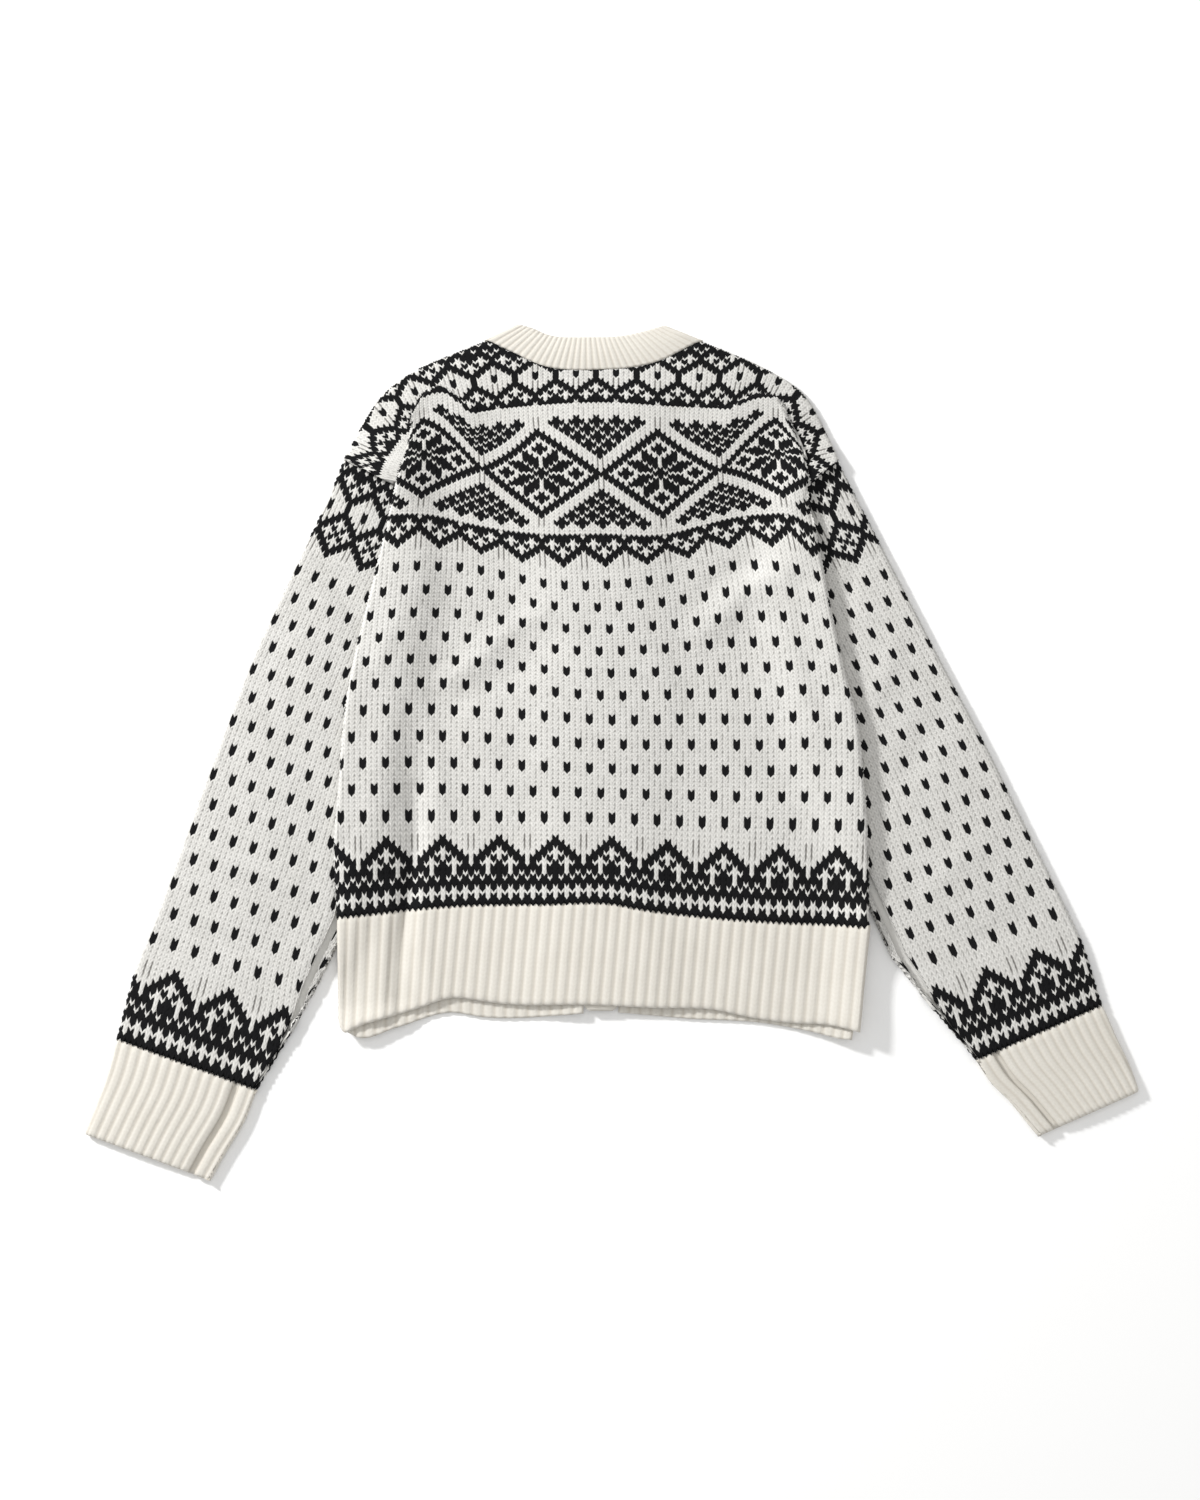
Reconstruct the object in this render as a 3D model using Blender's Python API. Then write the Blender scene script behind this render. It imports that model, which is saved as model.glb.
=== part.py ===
"""A chunky knitted Nordic cardigan, laid out on its front with the back up.

Frame: +X to the wearer's right, +Y to the collar, +Z up, origin under the middle of the box.
Every table is in millimetres. The cloth lies in layers: the fronts and the sleeves rest on the
surface, and the back lies on the fronts. The sides of the body lie on the inner margins of the
sleeves.
"""

import math

import bmesh
import bpy

MM = 0.001

# Cloth.
WALL = 2.6  # thickness of the knitted cloth
SEAM = 0.3  # gap between two pieces that are sewn together
AIR = 1.5  # air between the two layers of a flat panel or sleeve
EDGE_AIR = 1.2  # the same at a folded edge, where the layers meet
EDGE_ROLL = 16.0  # width of the margin that rounds down to a folded edge
EDGE_WALL = 0.75  # share of the wall left at a folded edge

# Columns of points across the body: their distance from its side edge, then from a front band.
SIDE_COLUMNS = (0, 2, 5, 9, 15, 23, 31.5, 40, 49, 58, 68)
BAND_COLUMNS = (0, 11, 22, 33, 46)
BODY_WIDTH = 430.0
FRONT_WIDTH = 200.0

# Rib: one knit column and one purl column, as in the photo.
BACK_RIBS = 47
CUFF_RIBS = 12
NECK_RIBS = 22
RIB_HEIGHT = 1.1
CUFF_RIB_HEIGHT = 0.9
NECK_RIB_HEIGHT = 0.88

# Layers.
SLEEVE_HEIGHT = 2 * WALL + AIR
SLEEVE_CROWN = 0.9
SLEEVE_LIFT = SLEEVE_HEIGHT + SLEEVE_CROWN + 0.6  # how far a sleeve raises the body over it
LIFT_RAMP = 34.0  # length of the slope from the surface up to that height
LIFT_TOP_Y = 262.0  # the lift dies out here, above the armhole
LIFT_TOP_RAMP = 40.0
CENTRE_X = -9.0

# Front bands and buttons, at the centre front.
BAND_WIDTH = 28.0
BAND_WALL = 2.2
BUTTON_COUNT = 6
BUTTON_RADIUS = 9.0
BUTTON_HEIGHT = 2.0
BUTTON_BEVEL = 0.5
BUTTON_LOWEST_Y = -188.0
BUTTON_HIGHEST_Y = 246.0
BUTTONHOLE_BAND_Z = BUTTON_HEIGHT + SEAM
BUTTON_BAND_Z = BUTTONHOLE_BAND_Z + BAND_WALL + SEAM
RIDGE_HEIGHT = BUTTON_BAND_Z + BAND_WALL + 2 * SEAM - WALL - AIR  # how far the bands raise the back
RIDGE_HALF_WIDTH = BAND_WIDTH / 2 + 12
RIDGE_RAMP = 48.0
RIDGE_TOP_Y = 312.0  # the ridge dies out below the neck seam
RIDGE_TOP_RAMP = 36.0
FRONT_RAMP = 44.0  # the fronts rise over this width to meet their bands

# Sides of the body: height, then the photo's left and right edge.
BODY_SIDE = (
    # y, left x, right x
    (-136, -225.5, 210.5),
    (-80, -228, 210),
    (-23, -224, 206.5),
    (27, -220, 201),
    (76, -212, 188.5),
    (125, -200, 178),
    (166, -190, 170.5),
    (218, -178, 160),
)
RIB_SIDE = (
    # y, left x, right x
    (-228, -222, 203),
    (-200, -225, 207.5),
    (-170, -226, 211),
    (-136, -225.5, 210.5),
)

# Lines across the body, from the photo's left to its right.
RIB_SEAM = (  # x, y: where the patterned cloth meets the hem rib
    (-225.5, -136),
    (-165, -127),
    (-110, -123.5),
    (-10, -122.5),
    (60, -131),
    (142, -138),
    (210.5, -141),
)
BACK_HEM = (  # x, y
    (-222, -228),
    (-184, -217),
    (-130, -202),
    (-90, -206),
    (-10, -207),
    (84, -212),
    (146, -221),
    (203, -229),
)
FRONT_HEM = (  # x, y: it shows below the back hem
    (-218, -230.5),
    (-176, -225),
    (-130, -213.5),
    (-90, -217),
    (-10, -214),
    (56, -218),
    (127, -223),
    (199, -235),
)
# Where the body folds over its shoulders, and the black course between the two folds.
FOLD_LEFT = ((-178, 218), (-171, 240), (-164, 281), (-145, 301), (-121, 287))
YOKE_COURSE = ((-121, 287), (-58, 286), (-10, 288), (38, 286), (98, 285))
FOLD_RIGHT = ((98, 285), (120, 295), (139, 290), (152, 258), (160, 218))
# Shoulders, from the armhole seam to the neck.
SHOULDER_LEFT = ((-220, 241), (-204, 271), (-188, 294), (-161, 314), (-131, 327), (-97, 337))
SHOULDER_RIGHT = ((72, 338), (97, 328), (120, 318), (158, 293), (178, 258), (186, 240))
BACK_NECK_SEAM = ((-97, 337), (-58, 318), (-10, 314.5), (34, 320), (72, 338))
BACK_NECK_TOP = (
    (-99, 343),
    (-83, 351.4),
    (-53, 343),
    (-12, 340),
    (24, 345.5),
    (44, 350.6),
    (72.5, 341),
)
NECK_TURNS = (0.08, 0.93)  # where along that line the neckband turns over the shoulders
FRONT_NECK_DROP_Y = 246.0
NECKBAND_WIDTH = 25.0
NECKBAND_GAP = 1.2  # to the neck seams, whose points are spaced otherwise

# Folds and hollows of the back, from one end to the other.
FOLDS = (
    # x, y, to x, to y, half width, height
    (-186, -215, -180, -40, 12, 1.9),  # ridge at the left of the hem fold
    (-166, -218, -168, -20, 6, -1.1),  # the hem fold
    (-146, -210, -150, -60, 12, 1.2),  # ridge at its right
    (-104, 132, -58, 84, 24, -1.1),  # hollow below the yoke
    (70, 104, 142, 150, 13, 1.9),  # diagonal fold below the yoke
    (-118, 24, -60, -18, 14, 1.4),
    (112, -40, 168, -70, 15, 1.3),
    (40, -160, 52, -212, 16, 1.0),
)
# Corners of the hem, which curl up off the surface.
HEM_CURL = (
    # x, y, radius, height
    (210, -240, 82, 6.5),
    (-230, -240, 66, 3.5),
)
TUCK_HEIGHT = 2.3  # the shoulder fold stands this far above the cloth that comes out under it
TUCK_WIDTH = 44.0
TUCK_STEP = 2.2  # the step down, seen from above
TUCK_INNER = 92.0  # the folds start this far from the middle of the body
TUCK_INNER_RAMP = 24.0
TUCK_FOOT_Y = 190.0
TUCK_FOOT_RAMP = 40.0

# Sleeves: straight sections from the outer edge to the inner one, which the body hides at first.
SLEEVE_LEFT = (
    # outer x, outer y, inner x, inner y
    (-220.2, 240.2, -172, 213.4),
    (-240, 192, -160, 155),
    (-287, 95, -180, 45),
    (-319, 13, -197, -44),
    (-353, -78, -216, -139),
    (-377, -139, -242, -193),
    (-395, -187, -270, -242),
    (-406.5, -232, -291, -277),
)
SLEEVE_RIGHT = (
    (185.6, 239, 154, 211.8),
    (214, 182, 143, 142),
    (246, 115, 152, 66),
    (281, 47, 171, -6),
    (324, -30, 196, -95),
    (357, -105, 229, -168),
    (381, -151, 258, -204),
    (402, -207, 298, -252),
)
CUFF_LEFT = (
    (-406.7, -232.6, -291.3, -277.5),
    (-413, -260, -300, -291),
    (-422, -285, -312, -313),
    (-433, -313, -329.5, -351.4),
)
CUFF_RIGHT = (
    (402.3, -207.6, 298.3, -252.6),
    (413, -232, 308, -265),
    (424, -255, 324, -285),
    (433, -278, 350, -315),
)

CREAM = (0.86, 0.83, 0.76)
ECRU = (0.84, 0.82, 0.78)
DARK = (0.02, 0.02, 0.022)


# ---------------------------------------------------------------- small tools


def clear_scene():
    for obj in list(bpy.data.objects):
        bpy.data.objects.remove(obj, do_unlink=True)


def make_material(name, colour, roughness):
    material = bpy.data.materials.new(name)
    material.use_nodes = True
    shader = material.node_tree.nodes["Principled BSDF"]
    shader.inputs["Base Color"].default_value = (*colour, 1)
    shader.inputs["Roughness"].default_value = roughness
    shader.inputs["Metallic"].default_value = 0
    return material


def make_object(name, points, faces, material):
    """One closed mesh from points in millimetres."""
    mesh = bpy.data.meshes.new(name)
    mesh.from_pydata([[c * MM for c in p] for p in points], [], faces)
    shape = bmesh.new()
    shape.from_mesh(mesh)
    bmesh.ops.recalc_face_normals(shape, faces=shape.faces)
    shape.to_mesh(mesh)
    shape.free()
    mesh.shade_smooth()
    mesh.set_sharp_from_angle(angle=math.radians(50))
    mesh.materials.append(material)
    obj = bpy.data.objects.new(name, mesh)
    bpy.context.scene.collection.objects.link(obj)
    return obj


def mix(a, b, share):
    return a + (b - a) * share


def ease(share):
    """From 0 to 1 with level ends."""
    share = min(1.0, max(0.0, share))
    return share * share * (3 - 2 * share)


def curve_at(points, place):
    """A smooth curve through the points; place runs from 0 to 1 along it."""
    reach = [0.0]
    for a, b in zip(points, points[1:]):
        reach.append(reach[-1] + math.dist(a[:2], b[:2]))
    target = min(1.0, max(0.0, place)) * reach[-1]
    i = 0
    while i < len(points) - 2 and reach[i + 1] < target:
        i += 1
    span = reach[i + 1] - reach[i]
    t = (target - reach[i]) / span

    def slope(k, column):
        first, last = max(0, k - 1), min(len(points) - 1, k + 1)
        return (points[last][column] - points[first][column]) / (reach[last] - reach[first]) * span

    found = []
    for column in range(len(points[0])):
        a, b = points[i][column], points[i + 1][column]
        da, db = slope(i, column), slope(i + 1, column)
        found.append(
            a * (2 * t**3 - 3 * t**2 + 1)
            + da * (t**3 - 2 * t**2 + t)
            + b * (3 * t**2 - 2 * t**3)
            + db * (t**3 - t**2)
        )
    return found


def value_at(table, y, column):
    """Reads a column of a table whose first column is a height, rising or falling."""
    for a, b in zip(table, table[1:]):
        if min(a[0], b[0]) <= y <= max(a[0], b[0]):
            return mix(a[column], b[column], (y - a[0]) / (b[0] - a[0]))
    end = min(table, key=lambda row: abs(row[0] - y))
    return end[column]


def from_line(x, y, ax, ay, bx, by):
    """Distance from a point to a straight line, and how far along the line its foot is."""
    dx, dy = bx - ax, by - ay
    share = ((x - ax) * dx + (y - ay) * dy) / (dx * dx + dy * dy)
    share = min(1.0, max(0.0, share))
    return math.hypot(x - ax - share * dx, y - ay - share * dy), share


def distance_to(paths, x, y):
    return min(
        from_line(x, y, a[0], a[1], b[0], b[1])[0] for path in paths for a, b in zip(path, path[1:])
    )


def patch(bottom, top, left, right, across, up):
    """Rows of points that fill the space between four curves (a Coons patch).

    Each curve is a function of 0 to 1. across and up list the places of columns and rows.
    """
    rows = []
    for v in up:
        row = []
        for u in across:
            point = []
            for k in (0, 1):
                straight = mix(bottom(u)[k], top(u)[k], v) + mix(left(v)[k], right(v)[k], u)
                corners = mix(
                    mix(bottom(0)[k], bottom(1)[k], u), mix(top(0)[k], top(1)[k], u), v
                )
                point.append(straight - corners)
            row.append(point)
        rows.append(row)
    return rows


def slab(name, rows, low, high, material):
    """A closed sheet over rows of points; low and high give its underside and its top."""
    wide, tall = len(rows[0]), len(rows)
    points = []
    for level in (low, high):
        for j, row in enumerate(rows):
            points += [(x, y, level(x, y, i, j)) for i, (x, y) in enumerate(row)]

    def at(i, j, side):
        return side * wide * tall + j * wide + i

    faces = []
    for j in range(tall - 1):
        for i in range(wide - 1):
            for side in (0, 1):
                faces.append(
                    (at(i, j, side), at(i + 1, j, side), at(i + 1, j + 1, side), at(i, j + 1, side))
                )
    rim = [(i, 0) for i in range(wide)] + [(wide - 1, j) for j in range(1, tall)]
    rim += [(i, tall - 1) for i in range(wide - 2, -1, -1)] + [(0, j) for j in range(tall - 2, 0, -1)]
    for (i, j), (k, m) in zip(rim, rim[1:] + rim[:1]):
        faces.append((at(i, j, 0), at(k, m, 0), at(k, m, 1), at(i, j, 1)))
    return make_object(name, points, faces, material)


def even(count, start=0.0, end=1.0):
    return [mix(start, end, i / count) for i in range(count + 1)]


# ---------------------------------------------------------------- heights of the layers


def inner_edge(sleeve):
    """The sleeve's inner edge as a table of height and x."""
    return [(row[3], row[2]) for row in sleeve]


LEFT_INNER, RIGHT_INNER = inner_edge(SLEEVE_LEFT), inner_edge(SLEEVE_RIGHT)
SIDES = (
    [(row[1], row[0]) for row in RIB_SIDE + BODY_SIDE[1:]],
    [(row[2], row[0]) for row in RIB_SIDE + BODY_SIDE[1:]],
    SHOULDER_LEFT,
    SHOULDER_RIGHT,
)


def body_lift(x, y):
    """How far the sleeves and the curled corners of the hem raise the body off the surface."""
    over_left = value_at(LEFT_INNER, y, 1) - x
    over_right = x - value_at(RIGHT_INNER, y, 1)
    lift = SLEEVE_LIFT * ease(max(over_left, over_right) / LIFT_RAMP + 1)
    lift *= ease((LIFT_TOP_Y - y) / LIFT_TOP_RAMP)
    hem = 0.0
    for curl_x, curl_y, radius, height in HEM_CURL:
        hem = max(hem, height * ease(1 - math.hypot(x - curl_x, y - curl_y) / radius))
    return max(lift, hem)


def roll(x, y):
    """0 at a folded edge of the body, 1 away from it."""
    return ease(distance_to(SIDES, x, y) / EDGE_ROLL)


def wall_at(x, y):
    return WALL * mix(EDGE_WALL, 1, roll(x, y))


def band_ramp(x, height):
    """A front rises next to its band, to meet it."""
    away = abs(x - CENTRE_X) - BAND_WIDTH / 2
    return height * ease(1 - away / FRONT_RAMP)


def fold_height(x, y):
    total = 0.0
    for ax, ay, bx, by, half_width, height in FOLDS:
        away, along = from_line(x, y, ax, ay, bx, by)
        swell = 0.45 + 0.55 * math.sin(math.pi * mix(0.15, 0.85, along))
        total += height * swell * math.exp(-((away / half_width) ** 2))
    return total


def back_low(x, y):
    """Underside of the back: the front below it, the air between them and the back's own folds."""
    near = roll(x, y)
    ridge = RIDGE_HEIGHT * ease(1 - (abs(x - CENTRE_X) - RIDGE_HALF_WIDTH) / RIDGE_RAMP)
    ridge *= ease((RIDGE_TOP_Y - y) / RIDGE_TOP_RAMP)
    air = mix(EDGE_AIR, AIR + fold_height(x, y), near)
    return body_lift(x, y) + wall_at(x, y) + air + ridge


# ---------------------------------------------------------------- the pieces


def line(points):
    return lambda place: curve_at(points, place)


def side_line(table, column):
    return line([(row[column], row[0]) for row in table])


def joined(lines, shares):
    """Several curves end to end, each taking its share of 0 to 1."""

    def at(place):
        start = 0.0
        for curve, share in zip(lines, shares):
            if place <= start + share + 1e-9:
                return curve(min(1.0, max(0.0, (place - start) / share)))
            start += share
        return lines[-1](1)

    return at


SHOULDER_SHARE = 10 / 36  # of the columns of the back, at each side
SHARES = (SHOULDER_SHARE, 1 - 2 * SHOULDER_SHARE, SHOULDER_SHARE)


def nudged(points, outward):
    """A shoulder fold moved away from the body's middle."""
    middle_x, middle_y = CENTRE_X, 180
    found = []
    for x, y in points:
        away = math.hypot(x - middle_x, y - middle_y)
        found.append((x + (x - middle_x) / away * outward, y + (y - middle_y) / away * outward))
    return found


def back_columns():
    """Places of the back's columns, closer together where its sides rise and round down."""
    outer = [distance / BODY_WIDTH for distance in SIDE_COLUMNS]
    outer += even(3, outer[-1], SHOULDER_SHARE)[1:-1]
    inner = even(10, SHOULDER_SHARE, 1 - SHOULDER_SHARE)
    return outer + inner + [1 - place for place in reversed(outer)]


def front_columns():
    """The same for a front, from its band to its side."""
    by_band = [distance / FRONT_WIDTH for distance in BAND_COLUMNS]
    by_side = [1 - distance / FRONT_WIDTH for distance in reversed(SIDE_COLUMNS)]
    return by_band + even(4, by_band[-1], by_side[0])[1:-1] + by_side


def make_back(material):
    course = joined([line(FOLD_LEFT), line(YOKE_COURSE), line(FOLD_RIGHT)], SHARES)
    step = joined(
        [line(nudged(FOLD_LEFT, TUCK_STEP)), line(nudged(YOKE_COURSE, TUCK_STEP)),
         line(nudged(FOLD_RIGHT, TUCK_STEP))],
        SHARES,
    )
    top = joined([line(SHOULDER_LEFT), line(BACK_NECK_SEAM), line(SHOULDER_RIGHT)], SHARES)
    across = back_columns()
    torso = patch(
        line(RIB_SEAM), course, side_line(BODY_SIDE, 1), side_line(BODY_SIDE, 2), across, even(16)
    )
    left_seam = line([step(0), SHOULDER_LEFT[0]])
    right_seam = line([step(1), SHOULDER_RIGHT[-1]])
    shoulders = patch(step, top, left_seam, right_seam, across, (0, 0.12, 0.3, 0.5, 0.7, 0.87, 1))
    rows = torso + shoulders
    fold_rows = len(torso)
    paths = (FOLD_LEFT, FOLD_RIGHT)

    def tuck(x, y, i, j):
        if j >= fold_rows:
            return 0.0
        beside = ease((abs(x - CENTRE_X) - TUCK_INNER) / TUCK_INNER_RAMP)
        up = ease((y - TUCK_FOOT_Y) / TUCK_FOOT_RAMP)
        return TUCK_HEIGHT * beside * up * ease(1 - distance_to(paths, x, y) / TUCK_WIDTH)

    def low(x, y, i, j):
        return back_low(x, y) + tuck(x, y, i, j)

    def high(x, y, i, j):
        return low(x, y, i, j) + wall_at(x, y)

    rows[0] = [(x, y + SEAM) for x, y in rows[0]]
    neck_left, neck_right = BACK_NECK_SEAM[0][0], BACK_NECK_SEAM[-1][0]
    rows[-1] = [(x, y - SEAM if neck_left < x < neck_right else y) for x, y in rows[-1]]
    for row in rows[fold_rows:]:
        row[0] = [row[0][0] + SEAM, row[0][1] + SEAM]
        row[-1] = [row[-1][0] - SEAM, row[-1][1] + SEAM]
    return slab("back", rows, low, high, material)


def make_back_hem_rib(material):
    across = even(2 * BACK_RIBS)
    rows = patch(
        line(BACK_HEM), line(RIB_SEAM), side_line(RIB_SIDE, 1), side_line(RIB_SIDE, 2), across, even(5)
    )

    def low(x, y, i, j):
        return back_low(x, y)

    def high(x, y, i, j):
        crest = RIB_HEIGHT * (i % 2) * mix(0.4, 1, roll(x, y))
        return low(x, y, i, j) + wall_at(x, y) - 0.4 + crest

    return slab("back_hem_rib", rows, low, high, material)


def front_sheet(name, rows, meet, material):
    """A front lies with its underside on the surface, or on the sleeve's margin."""

    def low(x, y, i, j):
        return body_lift(x, y) + band_ramp(x, meet)

    def high(x, y, i, j):
        return low(x, y, i, j) + wall_at(x, y)

    return slab(name, rows, low, high, material)


def make_front(side, material):
    """side is -1 for the wearer's left front and 1 for the right one."""
    name = "front_left" if side < 0 else "front_right"
    meet = BUTTON_BAND_Z if side < 0 else BUTTONHOLE_BAND_Z
    at_band = CENTRE_X + side * (BAND_WIDTH / 2 + SEAM)
    shoulder = list(reversed(SHOULDER_LEFT)) if side < 0 else SHOULDER_RIGHT
    fold = FOLD_LEFT if side < 0 else list(reversed(FOLD_RIGHT))
    column = 1 if side < 0 else 2
    rib_y = value_at(RIB_SEAM, at_band, 1)
    neck = front_neck(side)
    rim = line([(at_band, rib_y), (at_band, FRONT_NECK_DROP_Y)])
    foot = (fold[0][0], fold[0][1])
    middle = line([(at_band, FRONT_NECK_DROP_Y), foot])
    seam_points = [point for point in RIB_SEAM if (point[0] - at_band) * side > 0]
    seam_points = [(at_band, rib_y)] + (seam_points if side > 0 else seam_points[::-1])
    across = front_columns()
    lower = patch(line(seam_points), middle, rim, side_line(BODY_SIDE, column), across, even(12))
    armhole = line([foot, shoulder[-1]])
    up = (0.04, 0.2, 0.4, 0.6, 0.78, 0.92, 1)
    upper = patch(middle, line(shoulder), line(neck), armhole, across, up)
    lower[0] = [(x, y + SEAM) for x, y in lower[0]]
    for row in upper:
        row[-1] = [row[-1][0] - side * SEAM, row[-1][1] + SEAM]
        row[0] = [row[0][0] + side * SEAM, row[0][1] - SEAM]
    return front_sheet(name, lower + upper, meet, material)


def front_neck(side):
    """The front neck seam, from the band up to the shoulder."""
    top = SHOULDER_LEFT[-1] if side < 0 else SHOULDER_RIGHT[0]
    start_x = CENTRE_X + side * BAND_WIDTH / 2
    reach_x, reach_y = top[0] - start_x, top[1] - FRONT_NECK_DROP_Y
    points = []
    for i in range(7):
        angle = math.pi / 2 * i / 6
        points.append(
            (start_x + reach_x * math.sin(angle), FRONT_NECK_DROP_Y + reach_y * (1 - math.cos(angle)))
        )
    return points


def make_front_hem_rib(side, material):
    name = "front_left_hem_rib" if side < 0 else "front_right_hem_rib"
    meet = BUTTON_BAND_Z if side < 0 else BUTTONHOLE_BAND_Z
    at_band = CENTRE_X + side * (BAND_WIDTH / 2 + SEAM)
    column = 1 if side < 0 else 2

    def half(points):
        start = (at_band, value_at(points, at_band, 1))
        kept = [point for point in points if (point[0] - at_band) * side > 0]
        return line([start] + (kept if side > 0 else kept[::-1]))

    hem, seam = half(FRONT_HEM), half(RIB_SEAM)
    rim = line([hem(0), seam(0)])
    outer = [(row[column] - side * 3 * (1 - j / 3), row[0]) for j, row in enumerate(RIB_SIDE)]
    outer[0] = tuple(hem(1))
    across = front_columns()
    rows = patch(hem, seam, rim, line(outer), across, even(6))
    return front_sheet(name, rows, meet, material)


def flat_ring(start, end, height, wall, across, under, turn, crown, ribs):
    """Outer and inner loops of a flattened tube's section, from one edge to the other.

    ribs is the height of the rib raised on the upper side, with two columns to a rib.
    """
    width = math.dist(start, end)
    ux, uy = (end[0] - start[0]) / width, (end[1] - start[1]) / width
    loops = []
    for inset in (0.0, wall):
        half = height / 2 - inset
        loop = []
        for i in range(across + 1):
            share = i / across
            s = mix(height / 2, width - height / 2, share)
            rise = crown * math.sin(math.pi * min(1.0, share / 0.72)) if crown else 0.0
            rib = ribs * (i % 2) if inset == 0 else 0.0
            loop.append((s, height / 2 + half + rise + rib))
        for i in range(1, turn):
            angle = math.pi / 2 - math.pi * i / turn
            loop.append((width - height / 2 + half * math.cos(angle), height / 2 + half * math.sin(angle)))
        for i in range(under + 1):
            loop.append((mix(width - height / 2, height / 2, i / under), height / 2 - half))
        for i in range(1, turn):
            angle = -math.pi / 2 - math.pi * i / turn
            loop.append((height / 2 + half * math.cos(angle), height / 2 + half * math.sin(angle)))
        loops.append([(start[0] + ux * s, start[1] + uy * s, z) for s, z in loop])
    return loops


def flat_tube(name, stations, count, material, crown=0.0, ribs=0.0, across=9, under=6, turn=5):
    """A flattened tube through sections that a table gives, open at both ends."""
    sections = []
    for place in even(count):
        outer_x, outer_y, inner_x, inner_y = curve_at(stations, place)
        sections.append(
            flat_ring(
                (outer_x, outer_y), (inner_x, inner_y), SLEEVE_HEIGHT, WALL, across, under, turn, crown, ribs
            )
        )
    around = len(sections[0][0])
    points = [point for section in sections for loop in section for point in loop]

    def at(section, loop, k):
        return (section * 2 + loop) * around + k % around

    faces = []
    for s in range(count):
        for k in range(around):
            faces.append((at(s, 0, k), at(s, 0, k + 1), at(s + 1, 0, k + 1), at(s + 1, 0, k)))
            faces.append((at(s, 1, k), at(s + 1, 1, k), at(s + 1, 1, k + 1), at(s, 1, k + 1)))
    for s in (0, count):
        for k in range(around):
            faces.append((at(s, 0, k), at(s, 1, k), at(s, 1, k + 1), at(s, 0, k + 1)))
    return make_object(name, points, faces, material)


def make_neckband(material):
    """A ribbon that lies on the back neck, turns over each shoulder and follows the front neck."""
    back_z = 2 * WALL + AIR - BAND_WALL / 2
    front_z = BAND_WALL / 2
    turn_radius = (back_z - front_z) / 2
    turn_steps = 6
    sections = []  # seam point, free point, angle of the cloth's outer side from straight up

    def front_part(side):
        seam = front_neck(side)
        found = []
        for i, (x, y) in enumerate(seam):
            a, b = seam[max(0, i - 1)], seam[min(len(seam) - 1, i + 1)]
            long = math.dist(a, b)
            across_x, across_y = -(b[1] - a[1]) / long * side, (b[0] - a[0]) / long * side
            near_edge = (x + across_x * NECKBAND_GAP, y + across_y * NECKBAND_GAP)
            found.append((near_edge, (x + across_x * NECKBAND_WIDTH, y + across_y * NECKBAND_WIDTH)))
        return found

    left, right = front_part(-1), front_part(1)
    seam, free = line([(x, y + NECKBAND_GAP) for x, y in BACK_NECK_SEAM]), line(BACK_NECK_TOP)
    columns = even(2 * NECK_RIBS)
    turn_left = (seam(0), free(NECK_TURNS[0]))
    turn_right = (seam(1), free(NECK_TURNS[1]))
    rows = []
    for inner, outer in left[:-1]:
        rows.append((inner, outer, 180.0, 0.0))
    for i in range(turn_steps):
        rows.append((*turn_left, 180.0 - 180.0 * i / turn_steps, 0.0))
    for i, place in enumerate(columns):
        rows.append((seam(place), free(mix(*NECK_TURNS, place)), 0.0, NECK_RIB_HEIGHT * (i % 2)))
    for i in range(1, turn_steps + 1):
        rows.append((*turn_right, 180.0 * i / turn_steps, 0.0))
    for inner, outer in reversed(right[:-1]):
        rows.append((inner, outer, 180.0, 0.0))
    points = []
    for inner, outer, angle, rib in rows:
        turn = math.radians(angle)
        middle_z = mix(front_z, back_z, (1 + math.cos(turn)) / 2)
        side = -1 if inner[0] < CENTRE_X else 1
        for x, y in (inner, outer):
            bulge = side * turn_radius * math.sin(turn)
            for half in (BAND_WALL / 2, -BAND_WALL / 2):
                reach = half + (rib if half > 0 else 0)
                swing = side * reach * math.sin(turn)
                points.append((x + bulge + swing, y, middle_z + reach * math.cos(turn)))
    order = (0, 2, 3, 1)  # seam outer side, free outer side, free inner side, seam inner side
    faces = []
    for s in range(len(rows) - 1):
        for a, b in zip(order, order[1:] + order[:1]):
            faces.append((s * 4 + a, s * 4 + b, s * 4 + 4 + b, s * 4 + 4 + a))
    last = (len(rows) - 1) * 4
    faces.append(tuple(order))
    faces.append(tuple(last + k for k in reversed(order)))
    return make_object("neckband", points, faces, material)


def make_band(name, z, material):
    """A front band: a flat strip along the centre front, from the hem to the top of the neckband."""
    low_y = value_at(FRONT_HEM, CENTRE_X, 1)
    high_y = FRONT_NECK_DROP_Y + NECKBAND_WIDTH
    half = BAND_WIDTH / 2
    corner = 3.0  # the hem corner of the band is rounded off
    rows = []
    for j, y in enumerate([low_y, low_y + corner] + even(16, low_y + 26, high_y)):
        inset = corner if j == 0 else 0
        rows.append([(CENTRE_X + mix(-half + inset, half - inset, u), y) for u in even(2)])
    return slab(name, rows, lambda x, y, i, j: z, lambda x, y, i, j: z + BAND_WALL, material)


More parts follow.
